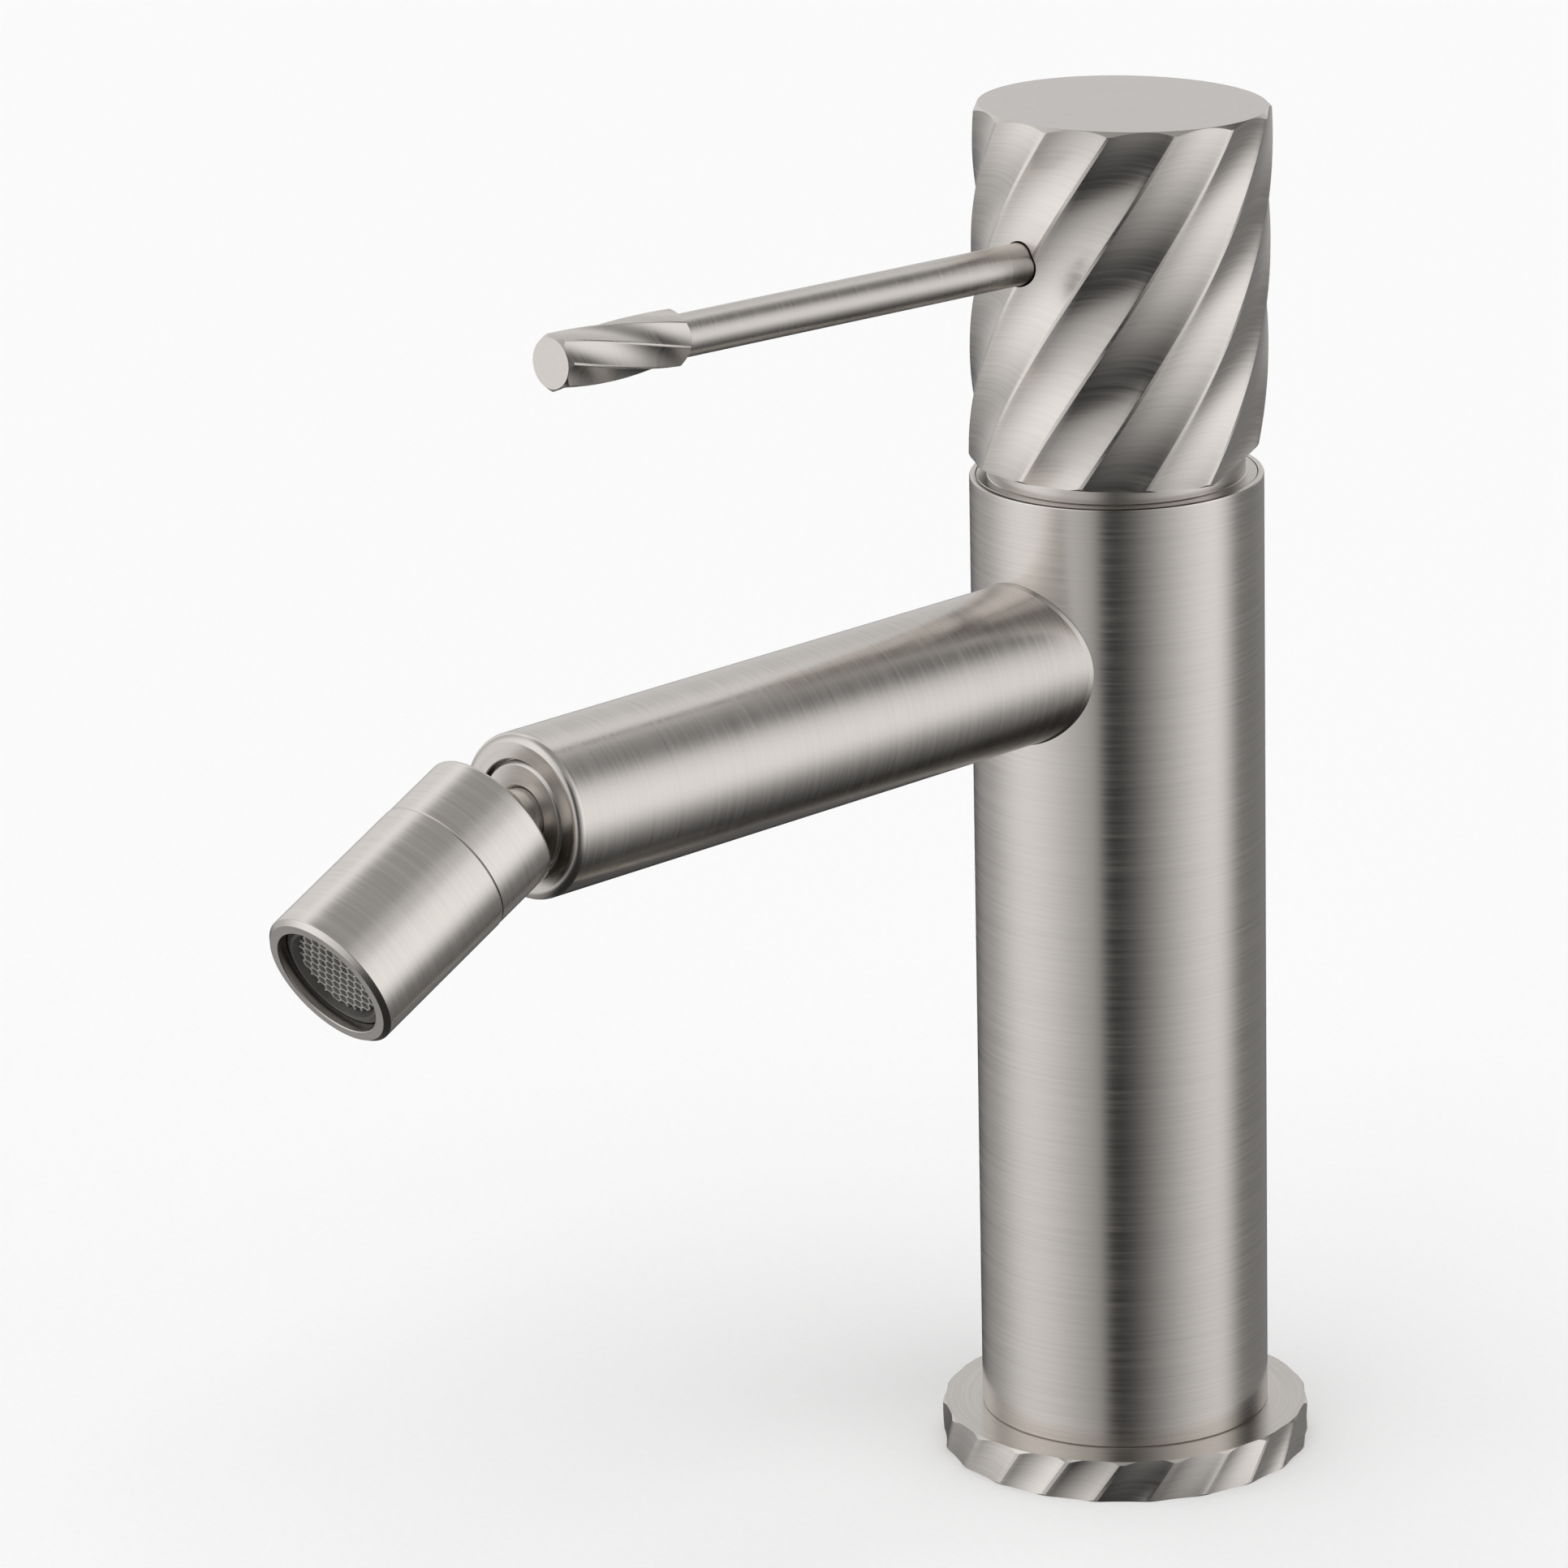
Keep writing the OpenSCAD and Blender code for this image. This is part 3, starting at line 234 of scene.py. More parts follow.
@dataclass(frozen=True)
class Turning:
    """A piece turned on a lathe: one profile carried round the axis.

    Attributes:
        profile: Distance from the axis and height of each corner, in order.
        solid: True for a solid whose profile starts and ends on the axis, and False
            for a ring whose profile closes on itself.
        sides: Number of steps round the axis.
    """

    profile: Sequence[Point]
    solid: bool = False
    sides: int = 192

    def make(self) -> Piece:
        """Turns the piece: a circle is extruded and resized from corner to corner.

        Returns:
            The new object, with the axis along Z.
        """
        corners = list(self.profile) + ([] if self.solid else [self.profile[0]])
        radius, height = corners[0]
        deselect_everything()
        bpy.ops.mesh.primitive_circle_add(
            vertices=self.sides, radius=radius, fill_type="NOTHING", location=(0, 0, height)
        )
        piece = bpy.context.object
        open_mesh("EDGE")
        for next_radius, next_height in corners[1:]:
            step = (0, 0, next_height - height)
            bpy.ops.mesh.extrude_edges_move(TRANSFORM_OT_translate={"value": step})
            growth = next_radius / radius
            bpy.ops.transform.resize(
                value=(growth, growth, 1), center_override=(0, 0, next_height)
            )
            radius, height = next_radius, next_height
        close_and_orient(self.solid)
        bpy.ops.object.transform_apply(location=True)
        return piece

    def finished(self, axis: Axis, smooth: float = 30.0, broken: float = 0.0) -> Piece:
        """Turns the piece, breaks its edges and sets it in its place.

        Args:
            axis: The axis it is turned on.
            smooth: Edges flatter than this many degrees are shaded smooth.
            broken: Width of the round on its edges, and 0 for none.

        Returns:
            The piece.
        """
        piece = self.make()
        if broken:
            break_edges(piece, broken)
        return set_in_place(piece, axis, smooth)


def drill(radius: float, start: float, end: float, sides: int = 96) -> Turning:
    """Describes the plain round solid that a drill takes out between two heights."""
    return Turning(((radius, start), (radius, end)), solid=True, sides=sides)


def cut_away(piece: Piece, cutter: Turning, place: Matrix = Matrix()) -> None:
    """Cuts a turned solid out of a piece.

    Args:
        piece: The piece that is cut.
        cutter: The solid that is taken out of it.
        place: Where the solid lies on the piece.
    """
    solid = cutter.make()
    solid.matrix_world = place @ solid.matrix_world
    shape_with(piece, "BOOLEAN", operation="DIFFERENCE", solver="EXACT", object=solid)
    bpy.data.meshes.remove(solid.data)


@dataclass(frozen=True)
class FlutedBar:
    """A bar with helical flutes, narrow lands between them and bevelled ends.

    Attributes:
        ridge_r: Radius over the lands.
        count: Number of flutes.
        hollow: Depth of a flute's middle below the flat between two lands.
        land: Width of a land.
        base: Height of the lower end.
        length: Length of the bar.
        twist: Twist of the flutes, degrees for each millimetre.
        phase: Angle of a land at the lower end.
        low: Depth and height of the bevel at the lower end.
        high: Depth and height of the bevel at the upper end.
        steps: Steps across one flute.
        level: Height of one step along the bar.
        broken: Width of the round on a land's edges.
    """

    ridge_r: float
    count: int
    hollow: float
    land: float
    base: float
    length: float
    twist: float
    phase: float
    low: Point
    high: Point
    steps: int = 12
    level: float = 0.9
    broken: float = 0.09

    def section(self) -> list[Point]:
        """Gives one flute's pitch of the outline.

        Returns:
            Angle in degrees from the middle of a land, and radius, of each corner.
        """
        pitch = 360 / self.count
        edge = math.degrees(math.asin(self.land / 2 / self.ridge_r))
        soft = math.degrees(self.broken / self.ridge_r)
        half = math.radians(pitch / 2 - edge)
        chord = self.ridge_r * math.sin(half)
        cutter = (chord**2 + self.hollow**2) / (2 * self.hollow)
        centre = self.ridge_r * math.cos(half) - self.hollow + cutter
        reach = math.degrees(half) - soft
        corners = [(edge - soft, self.ridge_r)]
        for i in range(self.steps + 1):
            angle = reach * (2 * i / self.steps - 1)
            turn = math.radians(angle)
            depth = math.sqrt(cutter**2 - (centre * math.sin(turn)) ** 2)
            corners.append((pitch / 2 + angle, centre * math.cos(turn) - depth))
        corners.append((pitch - edge + soft, self.ridge_r))
        return corners

    def make(self) -> Piece:
        """Draws the outline's ring, extrudes it with a twist and bevels both ends.

        Returns:
            The new object, with the axis along Z.
        """
        section = self.section()
        even = 360 / self.count / len(section)
        middle = (0, 0, self.base)
        deselect_everything()
        bpy.ops.mesh.primitive_circle_add(
            vertices=len(section) * self.count,
            radius=self.ridge_r,
            fill_type="NOTHING",
            location=middle,
        )
        piece = bpy.context.object
        bpy.ops.object.transform_apply(location=True)
        open_mesh()
        for corner, (angle, radius) in enumerate(section):
            bpy.ops.mesh.select_all(action="DESELECT")
            mesh = bmesh.from_edit_mesh(piece.data)
            # The circle's first vertex lies on +Y, and index follows angle round it
            for vertex in mesh.verts:
                vertex.select = vertex.index % len(section) == corner
            bmesh.update_edit_mesh(piece.data, loop_triangles=False)
            growth = radius / self.ridge_r
            bpy.ops.transform.resize(value=(growth, growth, 1), center_override=middle)
            self.turn_by(angle + self.phase - even * corner - 90, self.base)
        bpy.ops.mesh.select_all(action="SELECT")
        bpy.ops.mesh.select_mode(type="EDGE")
        count = round(self.length / self.level)
        rise = self.length / count
        for i in range(count):
            bpy.ops.mesh.extrude_edges_move(TRANSFORM_OT_translate={"value": (0, 0, rise)})
            self.turn_by(self.twist * rise, self.base + rise * (i + 1))
        close_and_orient(True)
        self.bevel_end(piece, self.base, -1, self.low)
        self.bevel_end(piece, self.base + self.length, 1, self.high)
        return piece

    def bevel_end(self, piece: Piece, end: float, way: int, size: Point) -> None:
        """Turns a cone off one end, which scallops the flutes there.

        Args:
            piece: The bar.
            end: Height of the end.
            way: 1 at the upper end and -1 at the lower one.
            size: Depth and height of the bevel.
        """
        above, outside = 0.1, 0.3
        slope = size[1] / size[0]
        inner = (self.ridge_r - size[0] - above / slope, end + way * above)
        corner = (self.ridge_r + outside, end + way * above)
        outer = (self.ridge_r + outside, end - way * (size[1] + outside * slope))
        cut_away(piece, Turning((inner, corner, outer), sides=256))

    @staticmethod
    def turn_by(degrees: float, height: float) -> None:
        """Turns the selected ring at a height about the axis, positive from X to Y."""
        # With no window the operator turns the other way
        bpy.ops.transform.rotate(
            value=-math.radians(degrees), orient_axis="Z", center_override=(0, 0, height)
        )


# Finishes


def linear(colour: str, factor: float) -> tuple[float, ...]:
    """Turns an sRGB hex colour linear.

    Args:
        colour: Six hex digits.
        factor: How much lighter it is made, and darker below 1.

    Returns:
        Red, green and blue for a shader.
    """
    parts = [int(colour[i : i + 2], 16) / 255 for i in (0, 2, 4)]
    light = [p / 12.92 if p <= 0.04045 else ((p + 0.055) / 1.055) ** 2.4 for p in parts]
    return tuple(min(part * factor, 1.0) for part in light)


def add_node(
    tree: Tree, kind: str, inputs: Mapping[Union[str, int], Value], **settings: object
) -> bpy.types.Node:
    """Adds a node with its settings and links.

    Args:
        tree: The node tree.
        kind: The node's type, without the words that all shader nodes start with.
        inputs: A value or a linked socket for each input.
        settings: The node's own settings.

    Returns:
        The new node.
    """
    node = tree.nodes.new("ShaderNode" + kind)
    for name, setting in settings.items():
        setattr(node, name, setting)
    for key, value in inputs.items():
        if isinstance(value, Socket):
            tree.links.new(value, node.inputs[key])
        else:
            node.inputs[key].default_value = value
    return node


def new_material(name: str) -> tuple[bpy.types.Material, Tree]:
    """Starts an empty material.

    Args:
        name: The material's name.

    Returns:
        The material and its node tree.
    """
    material = bpy.data.materials.new(name)
    material.use_nodes = True
    material.node_tree.nodes.clear()
    return material, material.node_tree


def surface(
    tree: Tree,
    tone: tuple[Socket, float, float, Sequence[float], Sequence[float]],
    rough: tuple[Socket, float, float, float, float],
    relief: tuple[Socket, float],
    **extra: float,
) -> None:
    """Ends a finish with its tone, its roughness, its fine relief and its shader.

    Args:
        tree: The node tree.
        tone: Pattern of the tone, its low and high value, and the colours there.
        rough: Pattern of the roughness, its low and high value, the mean and its spread.
        relief: Pattern of the relief, and its height.
        extra: The shader's other inputs.
    """
    pattern, low, high, dark, light = tone
    span = {FROM_MIN: (low,) * 3, FROM_MAX: (high,) * 3, TO_MIN: dark, TO_MAX: light}
    colour = add_node(tree, "MapRange", {"Vector": pattern, **span}, data_type="FLOAT_VECTOR")
    pattern, low, high, mean, spread = rough
    span = {"From Min": low, "From Max": high, "To Min": mean - spread, "To Max": mean + spread}
    dull = add_node(tree, "MapRange", {"Value": pattern, **span})
    inputs = {"Height": relief[0], "Strength": 1.0, "Distance": relief[1] * MILLIMETRE}
    bump = add_node(tree, "Bump", inputs)
    inputs = {"Base Color": colour.outputs["Vector"], "Roughness": dull.outputs[0], **extra}
    shader = add_node(tree, "BsdfPrincipled", {**inputs, "Normal": bump.outputs[0]})
    add_node(tree, "OutputMaterial", {"Surface": shader.outputs[0]})


def on_axis(tree: Tree, axis: Axis) -> Socket:
    """Gives the place on a piece in millimetres, with Z along the piece's axis.

    Args:
        tree: The node tree.
        axis: The axis.

    Returns:
        The vector socket.
    """
    location, rotation, _ = axis.place().decompose()
    inputs = {
        "Vector": add_node(tree, "TexCoord", {}).outputs["Object"],
        "Location": location * MILLIMETRE,
        "Rotation": rotation.to_euler(),
        "Scale": (MILLIMETRE,) * 3,
    }
    return add_node(tree, "Mapping", inputs, vector_type="TEXTURE").outputs[0]


@dataclass(frozen=True)
class BrushedMetal:
    """A metal brushed or turned round its axis, such as nickel plate under clear lacquer.

    The belt leaves fine rings round every turned face, which show as thin light and dark
    lines and draw each reflection out along the axis.

    Attributes:
        name: Name of the material.
        axis: The axis that the piece was brushed about.
        colour: Colour of the metal. Nickel is a warm grey.
        roughness: Mean roughness between the lines.
        spread: How much the roughness changes from line to line.
        pitch: Distance between two lines. Real ones lie 0.05 mm apart; these are drawn
            as coarse as the render shows.
        depth: Height of the lines.
        run: Length of one line round the piece.
        band: How fine the broad bands are, for lines of 1. There the belt pressed harder.
        band_share: How much the bands count, for lines of 1.
        tones: How dark and how light the colour becomes.
    """

    name: str
    axis: Axis
    colour: str = "CEC9C4"
    roughness: float = 0.24
    spread: float = 0.05
    pitch: float = 0.45
    depth: float = 0.003
    run: float = 20.0
    band: float = 0.14
    band_share: float = 0.45
    tones: Point = (0.93, 1.05)

    def material(self) -> bpy.types.Material:
        """Makes the material.

        Returns:
            The material.
        """
        material, tree = new_material(self.name)
        place = on_axis(tree, self.axis)
        # Lines follow each other along the axis, and outwards on an end face
        apart = add_node(tree, "SeparateXYZ", {0: place})
        flat = add_node(tree, "VectorMath", {0: place, 1: (1, 1, 0)}, operation="MULTIPLY")
        radius = add_node(tree, "VectorMath", {0: flat.outputs[0]}, operation="LENGTH")
        across = add_node(tree, "Math", {0: apart.outputs["Z"], 1: radius.outputs["Value"]})
        lines = add_node(tree, "CombineXYZ", {"Z": across.outputs[0]})
        inputs = {0: flat.outputs[0], 1: (1 / self.run, 1 / self.run, 0)}
        around = add_node(tree, "VectorMath", inputs, operation="MULTIPLY")
        inputs = {0: lines.outputs[0], 1: (0, 0, 1 / self.pitch), 2: around.outputs[0]}
        drawn = add_node(tree, "VectorMath", inputs, operation="MULTIPLY_ADD").outputs[0]
        fine = add_node(tree, "TexNoise", {"Vector": drawn, "Scale": 1.0, "Detail": 1.0})
        broad = add_node(tree, "TexNoise", {"Vector": drawn, "Scale": self.band, "Detail": 2.0})
        inputs = {0: broad.outputs["Fac"], 1: self.band_share, 2: fine.outputs["Fac"]}
        mixed = add_node(tree, "Math", inputs, operation="MULTIPLY_ADD").outputs[0]
        # Lines and bands together reach from about 0.4 to 1.05
        surface(
            tree,
            (mixed, 0.45, 1.0, *(linear(self.colour, tone) for tone in self.tones)),
            (mixed, 0.4, 1.05, self.roughness, self.spread),
            (fine.outputs["Fac"], self.depth),
            Metallic=1.0,
        )
        return material


@dataclass(frozen=True)
class Moulded:
    """A plastic, rubber or ceramic piece as it leaves its mould or its press.

    Attributes:
        name: Name of the material.
        colour: Its colour.
        roughness: Mean roughness.
        grain: Size of the mould's grain.
        depth: Height of the grain.
        ior: Index of refraction.
        mottle: How much the colour varies.
        cloud: Size of the spots in which it varies.
        spread: How much the roughness varies.
    """

    name: str
    colour: str
    roughness: float
    grain: float = 0.25
    depth: float = 0.004
    ior: float = 1.5
    mottle: float = 0.06
    cloud: float = 6.0
    spread: float = 0.08

    def material(self) -> bpy.types.Material:
        """Makes the material.

        Returns:
            The material.
        """
        material, tree = new_material(self.name)
        place = add_node(tree, "TexCoord", {}).outputs["Object"]
        noises = (
            add_node(tree, "TexNoise", {"Vector": place, "Scale": 1 / (size * MILLIMETRE)})
            for size in (self.grain, self.cloud)
        )
        grain, cloud = (noise.outputs["Fac"] for noise in noises)
        tones = (linear(self.colour, factor) for factor in (1 - self.mottle, 1 + self.mottle))
        surface(
            tree,
            (cloud, 0.3, 0.7, *tones),
            (grain, 0.0, 1.0, self.roughness, self.spread),
            (grain, self.depth),
            IOR=self.ior,
        )
        return material


Finish = Union[BrushedMetal, Moulded]


# The pieces, by sub-assembly


def finish_piece(
    piece: Piece, body: str, node: str, material: bpy.types.Material
) -> None:
    """Gives a finished piece its name, body, CAD node, slot and material.

    Args:
        piece: The piece, in place.
        body: The CAD body it moves with.
        node: The CAD node it stands for.
        material: Its material.
    """
    piece.name = node + "_dressed"
    piece.data.materials.clear()
    piece.data.materials.append(material)
    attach(piece, body)
    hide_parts(node)
    LOG.info("%s: %d faces on %s", piece.name, len(piece.data.polygons), body)


@dataclass
class Column:
    """The base flange, the column and the cover round the knob's foot.

    Attributes:
        radius: Radius of the column.
        flange_h: Height of the base flange.
        spigot_r: Radius of the spigot in the flange.
        seat_h: Height of the seat under the cover.
        cover_r: Radius of the cover's skirt.
        round_r: Radius of the cover's top about the pivot.
    """

    radius: float = 20.0
    flange_h: float = 5.9
    spigot_r: float = 17.0
    seat_h: float = 138.2
    cover_r: float = 17.5
    round_r: float = 18.6

    def flange(self) -> Piece:
        """Makes the fluted base flange.

        Returns:
            The piece.
        """
        piece = FlutedBar(
            ridge_r=25.6, count=21, hollow=0.2, land=0.75, base=0.0, length=self.flange_h,
            twist=1.55, phase=-39.2, low=(0.2, 0.2), high=(0.3, 0.42), level=0.4,
        ).make()
        cut_away(piece, drill(self.spigot_r + 0.05, -OVER, self.flange_h + OVER))
        inner, outer, depth = 20.45, 22.95, 1.5
        groove = ((inner, -OVER), (outer, -OVER), (outer, depth), (inner, depth))
        cut_away(piece, Turning(groove))
        return set_in_place(piece, Axis.COLUMN, 9)

    def column(self) -> Piece:
        """Makes the column with its rim, chamber and tapped holes.

        Returns:
            The piece.
        """
        foot, side, top, seat = self.flange_h, self.radius, 140.3, self.seat_h
        rim_r, thread_r, thread_h, chamber_r, floor = 19.2, 15.03, 131.0, 14.2, 104.0
        profile = [(self.spigot_r, 0.0), (self.spigot_r, foot), (side - 0.15, foot)]
        profile += [(side, foot + 0.15), (side, top - 0.3), (side - 0.09, top - 0.09)]
        profile += [(side - 0.3, top), (rim_r + 0.08, top), (rim_r, top - 0.08), (rim_r, seat)]
        profile += [(thread_r, seat), (thread_r, thread_h), (chamber_r, thread_h)]
        profile += [(chamber_r, floor)]
        piece = Turning(profile, solid=True, sides=256).make()
        inlet, stud = drill(4.5, -OVER, 30, 64), drill(3.4, -OVER, 14, 64)
        for hole, x, y in ((inlet, -6.4, -3), (inlet, 6.4, -3), (stud, 0, 9.5)):
            cut_away(piece, hole, Matrix.Translation((x, y, 0)))
        return set_in_place(piece, Axis.COLUMN)

    def cover(self) -> Piece:
        """Makes the cover, whose rounded top lets the knob lean back over it.

        Returns:
            The piece.
        """
        wall, mouth_r, ring_r, tail_h, ledge_h = 1.8, 12.5, 19.1, 135.4, 139.2
        inner_r = self.round_r - wall
        centre = (0.0, DATUM.pivot_h)
        outer = [math.degrees(math.acos(r / self.round_r)) for r in (self.cover_r, mouth_r)]
        inner = [math.degrees(math.acos(r / inner_r)) for r in (mouth_r, self.cover_r - wall)]
        top = self.seat_h + 2.05
        profile = [(15.0, tail_h), (15.0, self.seat_h), (ring_r, self.seat_h)]
        profile += [(ring_r, top - 0.08), (ring_r - 0.08, top)]
        profile += [(self.cover_r + 0.12, top), (self.cover_r, top + 0.12)]
        profile += arc(centre, self.round_r, outer[0], outer[1], 16)
        profile += arc(centre, inner_r, inner[0], inner[1], 12)
        profile += [(15.7, ledge_h), (13.4, ledge_h), (13.4, tail_h)]
        return Turning(profile, sides=256).finished(Axis.COLUMN)

    def build(self) -> None:
        """Makes and dresses the column's pieces."""
        metal = BrushedMetal("brushed_nickel_column", Axis.COLUMN).material()
        satin = BrushedMetal("satin_nickel_cover", Axis.COLUMN, roughness=0.3, depth=0.002)
        finish_piece(self.flange(), "body", "base_flange", metal)
        finish_piece(self.column(), "body", "body_column", metal)
        finish_piece(self.cover(), "body", "cover_dome", satin.material())


@dataclass
class Spout:
    """The spout's tube, its retaining ring and the turning stem.

    Attributes:
        radius: Radius of the spout.
        reach: Distance from the column's axis to the spout's end face.
        edge_r: Radius on the end edge.
        saddle_r: Radius of the saddle that lies round the column.
        foot: Where the tube starts before its end is laid on the column.
        ball_r: Radius of the stem's ball.
        neck_r: Radius of the stem's neck.
    """

    radius: float = 11.0
    reach: float = 111.0
    edge_r: float = 1.2
    saddle_r: float = 20.05
    foot: float = 16.0
    ball_r: float = 6.0
    neck_r: float = 3.85

    def tube(self) -> Piece:
        """Makes the tube, with its saddle, its rounded end and its mouth.

        Returns:
            The piece.
        """
        end, foot, bore_r, thread_r, mouth_r = self.reach, self.foot, 6.0, 7.03, 7.7
        ledge, thread_end, rim_width, rim_rise = end - 1.7, 102.55, 0.6, 0.22
        profile = [(self.radius + rim_rise, foot), (self.radius, foot + rim_width)]
        profile += [(self.radius, s) for s in (21.2, 22.0, 24.0, 30.0, 50.0, 80.0)]
        profile += arc((self.radius - self.edge_r, end - self.edge_r), self.edge_r, 0, 90, 10)
        profile += [(mouth_r + 0.08, end), (mouth_r, end - 0.08), (mouth_r, ledge)]
        profile += [(thread_r, ledge), (thread_r, thread_end), (bore_r, thread_end)]
        profile += [(r, foot) for r in (bore_r, 7.2, 8.4, 9.6, 10.4)]
        piece = Turning(profile).make()
        # The foot's rings are laid on the column's round, and the rim catches the light
        take_up(piece)
        open_mesh()
        mesh = bmesh.from_edit_mesh(piece.data)
        for vertex in mesh.verts:
            if vertex.co.z < foot + 1:
                vertex.co.z += math.sqrt(self.saddle_r**2 - vertex.co.x**2) - foot
        bmesh.update_edit_mesh(piece.data)
        bpy.ops.object.mode_set(mode="OBJECT")
        break_edges(piece, 0.05)
        return set_in_place(piece, Axis.SPOUT, 12)

    def ring(self) -> Piece:
        """Makes the retaining ring, whose face closes the spout's end.

        Returns:
            The piece.
        """
        front, inner, thread, head, bevel = self.reach - 0.15, 3.9, 7.0, 7.35, 0.4
        back, ledge = front - 6.4, front - 1.45
        profile = [(inner, back), (thread, back), (thread, ledge), (head, ledge)]
        profile += [(head, front - bevel), (head - bevel, front)]
        profile += [(inner + bevel, front), (inner, front - bevel)]
        return Turning(profile, sides=128).finished(Axis.SPOUT, 12, broken=0.06)

    def stem(self) -> Piece:
        """Makes the stem with its flange, neck and ball.

        Returns:
            The piece.
        """
        bore, shaft, groove, flange, shoulder = 2.6, 5.85, 4.45, 6.7, 104.35
        back = math.degrees(math.acos(self.neck_r / self.ball_r))
        front = math.degrees(math.acos(bore / self.ball_r))
        profile = [(bore, 97.85), (shaft, 97.85), (shaft, 99.45), (groove, 99.45)]
        profile += [(groove, 101.25), (shaft, 101.25), (shaft, 102.85), (flange, 102.85)]
        profile += [(flange, shoulder), (self.neck_r, shoulder)]
        profile += arc((0.0, DATUM.ball_reach), self.ball_r, -back, front, 28)
        return Turning(profile, sides=128).finished(Axis.SPOUT)

    def build(self) -> None:
        """Makes and dresses the spout's pieces."""
        metal = BrushedMetal("brushed_nickel_spout", Axis.SPOUT).material()
        # No belt has touched the ring and the stem, which are duller; their colour is painted
        # lighter than the tube's, to lift the shade that falls on them in the spout's end
        turned = BrushedMetal(
            # D6D2CD is painted light: nickel made lighter to offset the shade in the spout's end
            "turned_nickel_stem_painted_light", Axis.SPOUT, colour="D6D2CD", roughness=0.3, depth=0.002
        ).material()
        finish_piece(self.tube(), "body", "spout_tube", metal)
        finish_piece(self.ring(), "body", "retaining_ring", turned)
        finish_piece(self.stem(), "swivel", "swivel_stem", turned)


@dataclass
class Nozzle:
    """The nozzle's collar and shell, and the aerator's housing and honeycomb.

    Attributes:
        radius: Radius of the shell.
        collar_r: Radius of the collar.
        seam: Where the collar meets the shell, from the ball's centre.
        broken: Bevel on both sides of the seam.
        pocket_r: Radius of the pocket round the ball.
        opening_r: Radius of the shell's opening.
        aerator: Where the aerator's face lies.
        aerator_length: Length of the aerator's housing.
        pitch: Distance between the middles of two cells of the honeycomb.
        web: Thickness of its webs.
    """

    radius: float = 10.0
    collar_r: float = 9.94
    seam: float = 7.85
    broken: float = 0.14
    pocket_r: float = 7.163
    opening_r: float = 8.0
    aerator: float = 29.05
    aerator_length: float = 8.7
    pitch: float = 1.36
    web: float = 0.28

    def collar(self) -> Piece:
        """Makes the collar that grips the ball.

        Returns:
            The piece.
        """
        socket_r, back, front, round_r, thread_r, thread_end = 6.05, -1.85, 1.874, 0.5, 8.33, 3.874
        ends = [math.degrees(math.asin(t / socket_r)) for t in (front, back)]
        profile = arc((self.collar_r - round_r, back + round_r), round_r, -90, 0, 6)
        profile += [(self.collar_r, self.seam - self.broken)]
        profile += [(self.collar_r - self.broken, self.seam), (thread_r, self.seam)]
        profile += [(thread_r, thread_end), (self.pocket_r, thread_end), (self.pocket_r, front)]
        profile += arc((0.0, 0.0), socket_r, ends[0], ends[1], 10)
        return Turning(profile).finished(Axis.NOZZLE)

    def shell(self) -> Piece:
        """Makes the shell with its bevelled lip.

        Returns:
            The piece.
        """
        thread_r, back, bore_r, pocket_end, edge = 8.3, 4.174, 5.5, 6.874, 0.1
        side, end, lip, opening, washer = self.radius, 30.35, 0.65, self.opening_r, 1.2
        seat = self.aerator - self.aerator_length - washer
        profile = [(self.pocket_r, back), (thread_r, back), (thread_r, self.seam)]
        profile += [(side - self.broken, self.seam), (side, self.seam + self.broken)]
        profile += [(side, end - lip), (side - lip, end)]
        profile += [(opening + edge, end), (opening, end - edge), (opening, seat)]
        profile += [(bore_r, seat), (bore_r, pocket_end), (self.pocket_r, pocket_end)]
        return Turning(profile).finished(Axis.NOZZLE, 12, broken=0.05)

    def housing(self) -> Piece:
        """Makes the aerator's stepped plastic housing.

        Returns:
            The piece.
        """
        face, inner, step = self.aerator, 6.25, self.aerator - 0.35
        back, ledge, outer = face - self.aerator_length, face - 2.3, self.opening_r - 0.1
        profile = [(inner, back), (outer, back), (outer, step), (7.2, step), (7.2, face)]
        profile += [(6.75, face), (inner, face - 1.1), (inner, ledge), (5.75, ledge)]
        profile += [(5.75, back + 1.0), (inner, back + 1.0)]
        return Turning(profile, sides=128).finished(Axis.NOZZLE, 12, broken=0.06)

    def grille(self) -> Piece:
        """Makes the honeycomb, whose outermost cells are open.

        Returns:
            The piece.
        """
        top, depth, reach, far, merge = self.aerator - 0.65, 1.6, 6.2, 60.0, 0.01
        pitch, row_pitch = self.pitch, self.pitch * math.sqrt(0.75)
        rows = 2 * math.ceil(reach / pitch) + 3
        corner = (-1.5 * pitch * (rows // 2), -row_pitch * (rows // 2), 0)
        deselect_everything()
        bpy.ops.mesh.primitive_circle_add(
            vertices=6, radius=pitch / math.sqrt(3), fill_type="NGON", location=corner
        )
        piece = bpy.context.object
        bpy.ops.object.transform_apply(location=True)
        open_mesh("FACE")
        bpy.ops.mesh.inset(thickness=self.web / 2)
        bpy.ops.mesh.delete(type="FACE")
        bpy.ops.object.mode_set(mode="OBJECT")
        for step in ((0.5 * pitch, row_pitch, 0), (pitch, 0, 0)):
            shape_with(
                piece, "ARRAY", count=rows, use_relative_offset=False,
                use_constant_offset=True, constant_offset_displace=step,
                use_merge_vertices=True, merge_threshold=merge,
            )
        open_mesh("FACE")
        bpy.ops.mesh.remove_doubles(threshold=merge)
        bpy.ops.mesh.extrude_region_move(TRANSFORM_OT_translate={"value": (0, 0, depth)})
        close_and_orient(False)
        low, high = -OVER, depth + OVER
        rim = ((reach, low), (far, low), (far, high), (reach, high))
        cut_away(piece, Turning(rim, sides=96))
        break_edges(piece, 0.09)
        return set_in_place(piece, Axis.NOZZLE, along=top - depth)

